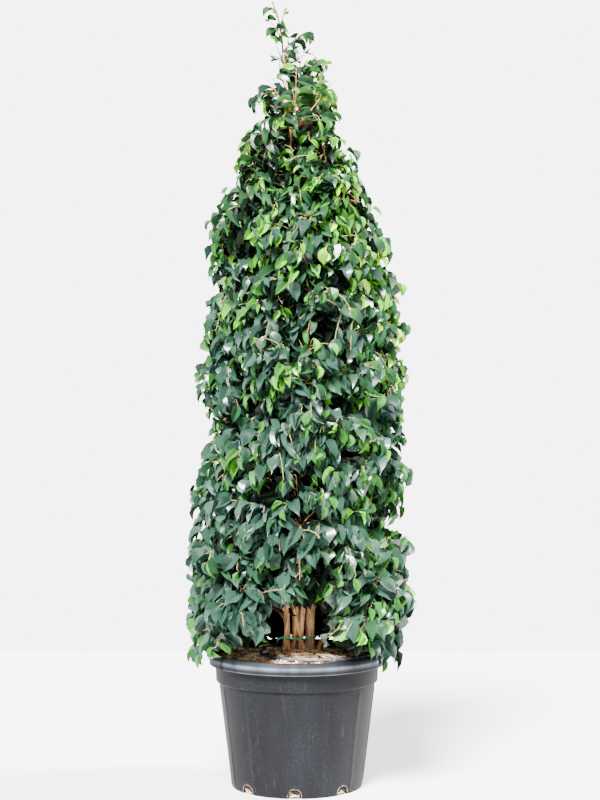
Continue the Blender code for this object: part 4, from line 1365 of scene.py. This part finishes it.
@dataclass
class WateringRing:
    """The loop of tube on the medium, with a sleeve at each joint."""

    centre_x: float = 0.058
    centre_height: float = 0.3788
    radius: float = 0.160
    tube: float = 0.005
    tube_rings: int = 120
    tube_sides: int = 18
    sag: float = 0.0006
    sags: int = 3
    sleeve: float = 0.0066
    sleeve_sides: int = 20
    sleeve_length: float = 0.020
    sleeves: tuple[float, ...] = (-75.0, -148.0, 40.0)
    # The sleeve's radius along its half length, with a groove round its middle.
    sleeve_swells: tuple[Range, ...] = (
        (-1, 0.78), (-0.97, 0.95), (-0.8, 1), (-0.3, 1), (-0.25, 0.93), (0.25, 0.93), (0.3, 1), (0.8, 1),
        (0.97, 0.95), (1, 0.78),
    )

    def ring(self, turn: float, radius: float) -> Ring:
        """One ring of the tube at a turn, before it sags."""
        out = heading(turn)
        centre = Vector((self.centre_x, 0, self.centre_height))
        return (centre + out * self.radius, UP.cross(out), radius)

    def touches(self, x: float, y: float, clearance: float) -> bool:
        """Whether a place in plan is within a clearance of the tube's middle line."""
        return abs(math.hypot(x - self.centre_x, y) - self.radius) < clearance

    def build(self) -> None:
        """The tube, which wanders slightly, and its sleeves."""
        rings = []
        for k in range(self.tube_rings):
            turn = 2 * math.pi * k / self.tube_rings
            centre, along, radius = self.ring(turn, self.tube)
            rings.append((centre + UP * self.sag * math.sin(self.sags * turn), along, radius))
        place("watering_tube", swept(rings, self.tube_sides, closed=True), PolytheneTube("polythene_tube"),
              "ring_tube", ["watering_ring"], 180)
        whole = bmesh.new()
        half = self.sleeve_length / self.radius / 2
        for angle in self.sleeves:
            absorb(whole, swept([self.ring(math.radians(angle) + half * share, self.sleeve * swell)
                                 for share, swell in self.sleeve_swells], self.sleeve_sides))
        place("watering_tube_sleeves", whole, PolytheneTube("polythene_sleeve"), "ring_tube", smooth_angle=50)


@dataclass(frozen=True)
class Threads:
    """One kind of bent thread on the medium: how many, how far out, how long and how thick."""

    name: str
    finish: DriedFibre
    count: int
    outer: float
    lengths: Range
    radius: float


@dataclass
class Medium:
    """The filled inside of the pot: a lumpy domed surface under shreds, chips and curls."""

    floor: float = 0.0043
    foot: float = 0.1795
    foot_wall: float = 0.183
    foot_top: float = 0.012
    body: float = 0.218
    body_top: float = 0.295
    band: float = 0.227
    band_bottom: float = 0.305
    edge: float = 0.362
    shelf_inner: float = 0.092
    shelf_outer: float = 0.205
    shelf: float = 0.3735
    shelf_fall: float = 0.001
    pad: float = 0.075
    pad_top: float = 0.3845
    columns: int = 120
    rows: int = 64
    blank_top: float = 0.4
    lump: float = 0.0062
    lump_base: float = 0.35
    # Scale and layer of the coarse lumps and of the fine ones, which are lower.
    lump_layers: tuple[Range, Range] = ((38.0, 3.1), (95.0, 7.7))
    fine_lump: float = 0.6
    calm_run: float = 0.03
    calm: Range = (0.8, 0.2)  # share of the lumps gained away from the stems, and kept at them
    ring_clear: float = 0.009
    chips: int = 1500
    chip_edge: float = 0.006
    chip_sizes: Range = (0.004, 0.018)
    chip_turn: float = 6.28
    chip_tilts: Range = (0.4, 0.3)
    chip_widths: Range = (0.25, 0.6)
    chip_thickness: float = 0.14
    chip_raised: float = 0.001
    chip_ragged: float = 0.12
    chip_ragged_up: float = 0.4
    flakes: tuple[tuple[str, DriedFibre, float], ...] = (
        ("bark_flakes", DriedFibre("bark_flake", "84492F", "42241A"), 0.42),
        ("tan_flakes", DriedFibre("tan_flake", "C69C6C", "8A6440"), 0.35),
        ("straw_flakes", DriedFibre("straw_flake", "E4CFA2", "B8925E"), 0.26),
    )
    threads: tuple[Threads, ...] = (
        Threads("coir_fibres", DriedFibre("coir_fibre", "B87A58", "74462F"), 1300, 0.221,
                (0.012, 0.030), 0.0006),
        Threads("straw_fibres", DriedFibre("straw_fibre", "EFD19C", "BE9460"), 650, 0.215,
                (0.012, 0.034), 0.0008),
        Threads("straw_curls", DriedFibre("straw_curl", "FFEFC8", "D8B27C"), 170, 0.165,
                (0.030, 0.075), 0.0030),
    )
    thread_edge: float = 0.004
    thread_ring_clear: float = 0.008
    thread_lifts: Range = (0.002, 0.012)
    thread_bend: float = 0.5
    thread_taper: float = 0.6
    roots: int = 15
    root_depths: Range = (0.001, 0.003)
    root_reaches: Range = (0.004, 0.015)
    root_heights: Range = (0.003, 0.023)
    root_bow: float = 0.008
    root_radii: Range = (0.0013, 0.0007)
    thin_rings: int = 5
    thin_sides: int = 4

    def height(self, x: float, y: float) -> float:
        """The surface's height at a place in plan."""
        radius = math.hypot(x, y)
        plain = float(np.interp(
            radius, (0, self.pad, self.shelf_inner, self.shelf_outer, self.band),
            (self.pad_top, self.pad_top, self.shelf, self.shelf - self.shelf_fall, self.edge)))
        coarse, fine = (noise.noise(Vector((x * scale, y * scale, layer)))
                        for scale, layer in self.lump_layers)
        lumps = coarse + self.fine_lump * fine
        calm = min(1.0, max(0.0, (radius - self.pad) / self.calm_run)) * self.calm[0] + self.calm[1]
        return plain + self.lump * (lumps - self.lump_base) * calm

    def build_ground(self) -> None:
        """The body of the medium, with a lumpy top."""
        top = [(radius, self.blank_top) for radius in np.linspace(self.band, 0, self.rows)]
        profile = [(0, self.floor), (self.foot, self.floor), (self.foot_wall, self.foot_top),
                   (self.body, self.body_top), (self.band, self.band_bottom)]
        bm = turned([*profile, *top], self.columns)
        for vert in bm.verts:
            if vert.co.z > self.blank_top - 0.01:
                vert.co.z = self.height(vert.co.x, vert.co.y)
        place("medium", bm, CoirMedium("coir_medium"), "growing_medium",
              ["growing_medium", "medium_mound"], 180)

    def spots(self, count: int, outer: float, rng: random.Random) -> Iterator[Vector]:
        """Random places on the surface within a radius, clear of the ring's tube."""
        ring = WateringRing()
        made = 0
        while made < count:
            radius, turn = math.sqrt(rng.uniform(0.0, outer ** 2)), rng.uniform(0, 2 * math.pi)
            x, y = radius * math.cos(turn), radius * math.sin(turn)
            if ring.touches(x, y, self.ring_clear):
                continue
            made += 1
            yield Vector((x, y, self.height(x, y)))

    def build_chips(self) -> None:
        """Flat flakes of bark and straw that lie on the surface, in three tones."""
        rng = random.Random(SEED + 1)
        up = self.chip_ragged_up
        for name, finish, share in self.flakes:
            whole = bmesh.new()
            for spot in self.spots(int(self.chips * share), self.band - self.chip_edge, rng):
                size = rng.uniform(*self.chip_sizes)
                turn = (Matrix.Rotation(rng.uniform(0, self.chip_turn), 4, "Z")
                        @ Matrix.Rotation(rng.gauss(0, self.chip_tilts[0]), 4, "X")
                        @ Matrix.Rotation(rng.gauss(0, self.chip_tilts[1]), 4, "Y"))
                shape = Matrix.Diagonal((size, size * rng.uniform(*self.chip_widths),
                                         size * self.chip_thickness, 1))
                where = Matrix.Translation(spot + UP * self.chip_raised)
                for vert in bmesh.ops.create_cube(whole, size=1, matrix=where @ turn @ shape)["verts"]:
                    ragged = Vector((rng.uniform(-1, 1), rng.uniform(-1, 1), rng.uniform(-up, up)))
                    vert.co += ragged * size * self.chip_ragged
            place(name, whole, finish, "growing_medium", smooth_angle=None)

    def thread(self, spot: Vector, kind: Threads, ring: WateringRing, rng: random.Random) -> Arc:
        """One bent thread, which turns back if it would end on the tube or the pot."""
        turn, length = rng.uniform(0, 2 * math.pi), rng.uniform(*kind.lengths)
        along = heading(turn)
        end = spot + along * length
        off_edge = math.hypot(end.x, end.y) > self.band - self.thread_edge
        if off_edge or ring.touches(end.x, end.y, self.thread_ring_clear):
            end = spot - along * length * 0.5
        end.z = self.height(end.x, end.y)
        lift = (UP * rng.uniform(*self.thread_lifts)
                + along.cross(UP) * rng.uniform(-self.thread_bend, self.thread_bend) * length)
        return Arc(spot, spot.lerp(end, 0.5) + lift, end, kind.radius, kind.radius * self.thread_taper)

    def build_shreds(self) -> None:
        """Coir fibres and straw curls, each a bent thread, thickest round the stems."""
        rng = random.Random(SEED + 2)
        ring = WateringRing()
        for kind in self.threads:
            arcs = [self.thread(spot, kind, ring, rng) for spot in self.spots(kind.count, kind.outer, rng)]
            adopt(kind.name, joined_arcs(kind.name, arcs, self.thin_rings, self.thin_sides), kind.finish,
                  "growing_medium")

    def build_roots(self) -> None:
        """Dry roots that show in the pot's drainage notches."""
        rng = random.Random(SEED + 4)
        pot = Pot()
        arcs = []
        for k in range(pot.notches * self.roots):
            out, beside = pot.notch_axes(k // self.roots)
            start, end = (out * (self.foot + rng.uniform(*self.root_depths))
                          + beside * side * rng.uniform(*self.root_reaches)
                          + UP * rng.uniform(*self.root_heights) for side in (-1, 1))
            bend = start.lerp(end, 0.5) + UP * rng.uniform(-self.root_bow, self.root_bow)
            arcs.append(Arc(start, bend, end, *self.root_radii))
        adopt("notch_roots", joined_arcs("notch_roots", arcs, self.thin_rings, self.thin_sides),
              DriedFibre("dry_root", "F0D8AE", "8A6238"), "growing_medium")

    def build(self) -> None:
        """The ground and all that lies on it."""
        self.build_ground()
        self.build_roots()
        self.build_chips()
        self.build_shreds()


@dataclass
class StemTie:
    """The coated wire drawn round the stems, with its ends twisted at the left."""

    crown: Crown
    height: float = 0.422
    wire: float = 0.0025
    wire_sides: int = 10
    points: int = 72
    snug: float = 1.15
    wander: float = 0.0008
    strand_share: float = 0.16
    tail: float = 0.020
    tail_points: int = 15
    tail_sides: int = 8
    tail_wire: float = 0.6
    tail_out: float = 0.002
    tail_slopes: Range = (0.55, 0.3)
    half_twists: float = 4.5
    twist_spread: float = 0.9
    twist_until: float = 0.65
    twist_opening: float = 6.0

    def taut(self) -> list[Vector]:
        """The line of the wire round whatever stands furthest out on each side."""
        reaches = [(stem.point(self.height), stem.radius(self.height)) for stem in self.crown.stems.values()]
        reaches += [(arc.point(self.strand_share), arc.radius(self.strand_share))
                    for arc in Wood(self.crown).strands()]
        line = []
        for k in range(self.points):
            turn = 2 * math.pi * k / self.points
            out = heading(turn)
            centre, radius = max(reaches, key=lambda item: item[0].dot(out) + item[1])
            spot = centre + out * (radius + self.wire * self.snug)
            line.append(Vector((spot.x, spot.y, self.height + self.wander * math.sin(turn * 2))))
        return [(line[k - 1] + line[k] * 2 + line[(k + 1) % self.points]) / 4 for k in range(self.points)]

    def twist(self, front: Vector, first: float) -> list[Vector]:
        """The line of one wire end, which winds round the other and then parts from it."""
        path = []
        for k in range(self.tail_points):
            share = k / (self.tail_points - 1)
            turn = self.half_twists * share * math.pi + first
            parted = max(0.0, share - self.twist_until) * self.twist_opening
            spread = self.wire * (self.twist_spread + parted)
            out, down = (share * self.tail * slope for slope in self.tail_slopes)
            path.append(front + Vector((-self.tail_out - out, math.cos(turn) * spread,
                                        math.sin(turn) * spread - down)))
        return path

    def build(self) -> None:
        """One taut loop round the outermost stems, then a twist and two tails."""
        line = self.taut()
        loop = [(line[k], (line[(k + 1) % self.points] - line[k - 1]).normalized(), self.wire)
                for k in range(self.points)]
        place("tie_loop", swept(loop, self.wire_sides, closed=True), CoatedWire("coated_wire"), "tie",
              ["stem_tie"], 180)
        whole = bmesh.new()
        front = min(line, key=lambda point: point.x)
        for first in (math.pi, 0):
            absorb(whole, swept(path_rings(self.twist(front, first), self.wire * self.tail_wire),
                                self.tail_sides))
        place("tie_twist", whole, CoatedWire("coated_wire"), "tie", smooth_angle=60)


# Pot ----------------------------------------------------------------------------------


@dataclass
class Pot:
    """The nursery pot: fluted body, band above a step, rolled rim, and notches round the foot."""

    wall: float = 0.003
    floor: float = 0.004
    foot: float = 0.1865
    foot_bevel: float = 0.008
    body: float = 0.2215
    body_top: float = 0.292
    band_bottom: float = 0.302
    band: float = 0.2305
    band_top: float = 0.366
    rim: float = 0.2503
    rim_top: float = 0.383
    rim_hem: float = 0.349
    rim_rows: int = 13
    columns: int = 264
    skin: float = 0.0012
    flutes: int = 12
    flute_angle: float = -68.0
    flute_proud: float = 0.0024
    flute_width: float = 0.10
    flute_fades: Range = (0.04, 0.03)
    notches: int = 8
    notch_angle: float = -92.0
    notch_width: float = 0.040
    notch_height: float = 0.027
    notch_spring: float = 0.005
    notch_below: float = 0.01
    notch_points: int = 10
    notch_uneven: float = 0.05
    notch_inset: float = 0.021
    notch_depth: float = 0.041
    burr: float = 0.0006
    burr_sides: int = 8
    seam_angle: float = -147.5
    seam_shift: float = 0.018
    seam_run: float = 0.011
    seam_raised: float = 0.0002
    seam_thickness: float = 0.0009
    # Where the crests are pale: a wide scuffed stretch at the right, and a narrow one at the left, whose pale
    # line is partly wear and partly a painted highlight.
    worn_right: float = -0.20
    wear_and_highlight_left: float = math.radians(-158)
    crest_wear_and_highlight: tuple[float, float, float] = (0.02, 0.4, 0.5)
    crest_fade: float = 0.12
    notch_wear: float = 0.8
    notch_wear_top: float = 0.04
    hem_wear: float = 0.9
    hem_height: float = 0.0025
    dust: float = 0.12
    # The highlight painted on the rolled rim: its least, then at the hem, where the pale line is partly wear,
    # over the top and on the ridge.
    rim_highlights: tuple[float, float, float, float] = (0.015, 0.16, 0.04, 0.42)
    ridge_drop: float = 0.0160
    ridge_half: float = 0.0056
    over_drop: float = 0.0125

    def outside(self) -> list[Range]:
        """The outer profile, from the middle of the underside to the top of the rim."""
        foot, body, band, rim, wall = self.foot, self.body, self.band, self.rim, self.wall
        low, high, step, flare, hem, top = (self.foot_bevel, self.body_top, self.band_bottom,
                                            self.band_top, self.rim_hem, self.rim_top)
        rise = [0.0, 0.02, 0.06, 0.12, 0.2, 0.35, 0.5, 0.65, 0.8, 0.9, 0.96, 1.0]
        return [
            (0, 0.0012), (foot - 0.022, 0.0012), (foot - 0.020, 0), (foot - 0.005, 0),
            (foot - 0.0015, 0.0022), (foot - 0.0002, 0.005),
            *[(foot + (body - foot) * t, low + (high - low) * t) for t in rise],
            (body + 0.0006, step - 0.0040), (band - 0.0018, step - 0.0016), (band - 0.0002, step + 0.0008),
            (band, step + 0.004), (band + 0.0012, step + 0.03), (band + 0.003, flare),
            (band + 0.003 + 0.003, flare + 0.002), (rim - wall - 0.002, flare + 0.001),
            (rim - wall, flare - 0.002), (rim - wall - 0.001, hem + 0.0006), (rim - wall, hem),
            (rim - 0.0018, hem), (rim - 0.0010, hem + 0.0010), (rim - 0.0014, hem + 0.0030),
            (rim - 0.0008, hem + 0.009), (rim, top - 0.0185), (rim - 0.0002, top - 0.0155),
            (rim - 0.0012, top - 0.0120), (rim - 0.0024, top - 0.0080), (rim - 0.0042, top - 0.0040),
            (rim - 0.0070, top - 0.0014), (rim - 0.0095, top - 0.0002), (rim - 0.0110, top),
        ]

    def inside(self) -> list[Range]:
        """The inner profile, from the top of the rim to the middle of the floor."""
        band, rim, wall, top = self.band, self.rim, self.wall, self.rim_top
        return [
            (rim - 0.0130, top - 0.0004), (rim - 0.0155, top - 0.0020), (band + 0.0016, top - 0.0060),
            (band + 0.0002, top - 0.0115), (band, self.band_top - 0.006),
            (band - wall, self.band_bottom + wall), (self.body - wall, self.body_top + wall),
            (self.foot - wall, 0.010), (self.foot - wall - 0.003, self.floor), (0, self.floor),
        ]

    def notch_axes(self, k: int) -> tuple[Vector, Vector]:
        """The directions out through one drainage notch and across it."""
        out = heading(math.radians(self.notch_angle) + 2 * math.pi * k / self.notches)
        return out, Vector((-out.y, out.x, 0))

    def arch(self, k: int) -> list[Range]:
        """The outline of one drainage notch, across and up, a little uneven."""
        half, spring = self.notch_width / 2, self.notch_spring
        rng = random.Random(SEED + k)
        arch = [(half, -self.notch_below), (half, spring)]
        for j in range(1, self.notch_points):
            turn = math.pi * j / self.notch_points
            wobble = 1 + rng.uniform(-self.notch_uneven, self.notch_uneven)
            rise = (self.notch_height - spring) * math.sin(turn) ** 0.7 * wobble
            arch.append((half * math.cos(turn) * wobble, spring + rise))
        return [*arch, (-half, spring), (-half, -self.notch_below)]

    def notch(self, k: int) -> bmesh.types.BMesh:
        """The arched prism that one drainage notch removes."""
        out, along = self.notch_axes(k)
        bm = bmesh.new()
        start = out * (self.foot - self.notch_inset)
        face = bm.faces.new([bm.verts.new(start + along * x + UP * z) for x, z in self.arch(k)])
        made = bmesh.ops.extrude_face_region(bm, geom=[face])
        moved = [item for item in made["geom"] if isinstance(item, bmesh.types.BMVert)]
        bmesh.ops.translate(bm, verts=moved, vec=out * self.notch_depth)
        bmesh.ops.recalc_face_normals(bm, faces=bm.faces[:])
        return bm

    def flute(self, angle: float) -> float:
        """How proud the body stands at an angle, from none to one on the crest of a flute."""
        turn = (angle - math.radians(self.flute_angle)) / (2 * math.pi) * self.flutes
        away = abs(turn - round(turn)) / self.flute_width
        return max(0.0, 1 - away * away) ** 1.5 if away < 1 else 0.0

    def raise_flutes(self, bm: bmesh.types.BMesh) -> None:
        """Moves the body's outer skin out along each flute, fading at the foot and the step."""
        low, high = self.flute_fades
        for vert in bm.verts:
            radius, height = math.hypot(vert.co.x, vert.co.y), vert.co.z
            share = (height - self.foot_bevel) / (self.body_top - self.foot_bevel)
            skin = self.foot + (self.body - self.foot) * share
            if 0 <= share <= 1 and abs(radius - skin) < self.skin:
                fade = min(1, share / low, (1 - share) / high) if 0 < share < 1 else 0
                proud = self.flute_proud * self.flute(math.atan2(vert.co.y, vert.co.x))
                vert.co.xy *= 1 + proud * fade / radius

    def helper(self, name: str, bm: bmesh.types.BMesh) -> bpy.types.Object:
        """An object for the cut alone, which is removed after it."""
        mesh = bpy.data.meshes.new(name)
        bm.to_mesh(mesh)
        bm.free()
        helper = bpy.data.objects.new(name, mesh)
        bpy.context.scene.collection.objects.link(helper)
        return helper

    def build_shell(self) -> None:
        """The whole pot in one wall, with the wear, dust and painted rim highlight that its finish reads."""
        bm = turned(self.outside() + self.inside(), self.columns)
        self.raise_flutes(bm)
        pot = self.helper("pot_shell", bm)
        helpers = [pot]
        for k in range(self.notches):
            helpers.append(self.helper(f"notch_{k}", self.notch(k)))
            modifier = pot.modifiers.new("notch", "BOOLEAN")
            modifier.operation, modifier.solver, modifier.object = "DIFFERENCE", "EXACT", helpers[-1]
        graph = bpy.context.evaluated_depsgraph_get()
        made = bpy.data.meshes.new_from_object(pot.evaluated_get(graph))
        for helper in helpers:
            data = helper.data
            bpy.data.objects.remove(helper)
            bpy.data.meshes.remove(data)
        made.name = "pot_shell"
        self.paint_wear(made)
        made.shade_smooth()
        made.set_sharp_from_angle(angle=math.radians(35))
        adopt("pot_shell", made, MouldedPolypropylene("moulded_polypropylene"), "pot_plastic", ["pot"])

    def wear(self, radius: float, angle: float, height: float, right: float) -> float:
        """Wear along the flutes, round the notches and on the rim's hem; at the left crest it is partly a
        painted highlight.
        """
        least, on_right, on_left = self.crest_wear_and_highlight
        # At the left the pale crest line is partly wear and partly a painted highlight.
        left = max(0.0, math.cos(angle - self.wear_and_highlight_left)) ** 60
        crest = (self.flute(angle) * (self.foot_bevel < height < self.body_top)
                 * min(1.0, height / self.crest_fade))
        notch = 0.0
        if height < self.notch_wear_top:
            turn = (angle - math.radians(self.notch_angle)) / (2 * math.pi) * self.notches
            notch = max(0.0, 1 - abs(turn - round(turn)) * 8) * (1 - height / self.notch_wear_top)
        on_hem = radius > self.rim - 0.004 and height < self.rim_hem + self.hem_height
        return max(crest * (least + on_right * right + on_left * left), notch * self.notch_wear,
                   self.hem_wear if on_hem else 0.0)

    def sheen(self, radius: float, height: float) -> float:
        """How strong the highlight painted on the rolled rim is at a place, and none elsewhere."""
        least, at_hem, over_top, on_ridge = self.rim_highlights
        ridge = on_ridge * (1 - min(1.0, abs(self.rim_top - self.ridge_drop - height) / self.ridge_half))
        over = over_top * (height > self.rim_top - self.over_drop)
        edge = at_hem * (height < self.rim_hem + self.hem_height)
        rolled = radius > self.rim - 0.012 and height > self.rim_hem
        return max(ridge, over, edge, least) * rolled

    def paint_wear(self, mesh: bpy.types.Mesh) -> None:
        """Writes the wear, dust and painted rim highlight of every point, which the finish reads."""
        values: dict[str, list[float]] = {"wear": [], "dust": [], "sheen": []}
        for vert in mesh.vertices:
            x, y, z = vert.co
            radius, angle = math.hypot(x, y), math.atan2(y, x)
            right = max(0.0, math.cos(angle - self.worn_right)) ** 6
            values["wear"].append(self.wear(radius, angle, z, right))
            values["dust"].append(self.dust * right)
            values["sheen"].append(self.sheen(radius, z))
        for name, shares in values.items():
            mesh.attributes.new(name, "FLOAT", "POINT").data.foreach_set("value", shares)

    def build_seam(self) -> None:
        """Two low ribs across the rolled rim, where the mould's halves close."""
        whole = bmesh.new()
        profile = [*self.outside()[-self.rim_rows:], *self.inside()[:2]]
        for shift in (-self.seam_shift, self.seam_shift):
            bm = bmesh.new()
            out = heading(math.radians(self.seam_angle) + shift)
            points = [bm.verts.new(out * (radius + self.seam_raised) + UP * height)
                      for radius, height in profile]
            edges = [bm.edges.new(pair) for pair in zip(points, points[1:])]
            bmesh.ops.spin(bm, geom=points + edges, cent=(0, 0, 0), axis=UP, angle=self.seam_run, steps=2)
            bmesh.ops.recalc_face_normals(bm, faces=bm.faces[:])
            facing = sum(face.normal.dot(out) * face.calc_area() for face in bm.faces)
            if facing < 0:
                bmesh.ops.reverse_faces(bm, faces=bm.faces[:])
            bmesh.ops.solidify(bm, geom=bm.faces[:], thickness=-self.seam_thickness)
            bmesh.ops.recalc_face_normals(bm, faces=bm.faces[:])
            absorb(whole, bm)
        place("rim_mould_seam", whole, MouldedPolypropylene("moulded_seam"), "pot_plastic", smooth_angle=30)

    def build_burrs(self) -> None:
        """The whitened, scuffed edge of every drainage notch."""
        whole = bmesh.new()
        for k in range(self.notches):
            out, along = self.notch_axes(k)
            path = []
            for x, z in self.arch(k):
                if z >= 0:
                    rise = max(0.0, z - self.foot_bevel) / self.body_top
                    skin = self.foot + (self.body - self.foot) * rise
                    path.append(out * math.sqrt(skin ** 2 - x ** 2) + along * x + UP * z)
            absorb(whole, swept(path_rings(path, self.burr), self.burr_sides))
        place("notch_burrs", whole, DriedFibre("whitened_polypropylene", "A08E76", "3C342C"), "pot_plastic")

    def build(self) -> None:
        """The shell, the scuffed edges of its notches and its seam."""
        self.build_shell()
        self.build_burrs()
        self.build_seam()


# Studio -------------------------------------------------------------------------------


@dataclass
class Studio:
    """A pale floor, even light from all round, three soft lights and the camera."""

    target: Vector = Vector((0.009, 0.0, 1.0974))
    distance: float = 5.251
    tilt: float = 0.89
    lens: float = 83.03
    sensor: float = 36.0
    floor: float = 5.0
    sky: tuple[float, float, float, float] = (0.90, 0.96, 1, 1)
    horizon: float = -0.2
    zenith: float = 0.66
    ground: float = 0.06
    backdrop: float = 6.2
    # Each sun's name, side, width in degrees and power.
    suns: tuple[tuple[str, tuple[float, float, float], float, float], ...] = (
        ("key", (-0.28, -0.84, 1.00), 20.0, 32.0), ("fill", (0.30, -0.95, 0.20), 26.0, 0.9),
        ("edge", (0.90, 0.10, 0.90), 16.0, 13.0),
    )

    def build_camera(self) -> None:
        """A long lens a little above the plant's middle, tilted down to it."""
        tilt = math.radians(self.tilt)
        away = Vector((0, -math.cos(tilt), math.sin(tilt)))
        data = bpy.data.cameras.new("camera")
        data.lens, data.sensor_fit = self.lens, "VERTICAL"
        data.sensor_height = data.sensor_width = self.sensor
        camera = bpy.data.objects.new("camera", data)
        camera.location = self.target + away * self.distance
        camera.rotation_euler = (-away).to_track_quat("-Z", "Y").to_euler()
        bpy.context.scene.collection.objects.link(camera)
        bpy.context.scene.camera = camera

    def build_floor(self) -> None:
        """The floor that the pot stands on."""
        bm = bmesh.new()
        bmesh.ops.create_grid(bm, x_segments=4, y_segments=4, size=self.floor / 2)
        mesh = bpy.data.meshes.new("floor")
        bm.to_mesh(mesh)
        bm.free()
        mesh.materials.append(StudioFloor("studio_floor").build())
        floor = bpy.data.objects.new("floor", mesh)
        bpy.context.scene.collection.objects.link(floor)

    def build_world(self) -> None:
        """A soft dome that is brightest overhead, and a white backdrop that the camera sees."""
        world = bpy.data.worlds.new("studio")
        world.use_nodes = True
        tree = world.node_tree
        where = add_node(tree, "TexCoord").outputs["Generated"]
        up = add_node(tree, "SeparateXYZ", {0: where}).outputs["Z"]
        dome = add_node(tree, "MapRange", {"Value": up, "From Min": self.horizon, "To Min": self.ground,
                                           "To Max": self.zenith})
        surround = tree.nodes["Background"]
        set_inputs(tree, surround, {"Color": self.sky, "Strength": dome})
        backdrop = add_node(tree, "Background", {"Color": (1, 1, 1, 1), "Strength": self.backdrop})
        seen = add_node(tree, "LightPath").outputs["Is Camera Ray"]
        both = add_node(tree, "MixShader", {0: seen, 1: surround, 2: backdrop})
        set_inputs(tree, tree.nodes["World Output"], {"Surface": both})
        bpy.context.scene.world = world

    def build_suns(self) -> None:
        """Three wide, even lights."""
        for name, side, width, power in self.suns:
            data = bpy.data.lights.new(name, "SUN")
            data.angle, data.energy = math.radians(width), power
            light = bpy.data.objects.new(name, data)
            light.location = self.target + Vector(side) * 5
            light.rotation_euler = Vector(side).to_track_quat("Z", "Y").to_euler()
            bpy.context.scene.collection.objects.link(light)

    def build(self) -> None:
        """Camera, floor and light."""
        self.build_camera()
        self.build_floor()
        self.build_world()
        self.build_suns()


def main() -> None:
    """Builds and dresses every sub-assembly in order."""
    logging.basicConfig(level=logging.INFO, format="%(name)s %(message)s")
    crown = Crown()
    masses = list(crown.masses())
    Studio().build()
    Pot().build()
    Medium().build()
    WateringRing().build()
    StemTie(crown).build()
    Wood(crown).build(masses)
    Foliage(crown).build(masses)


if __name__ == "__main__":
    main()
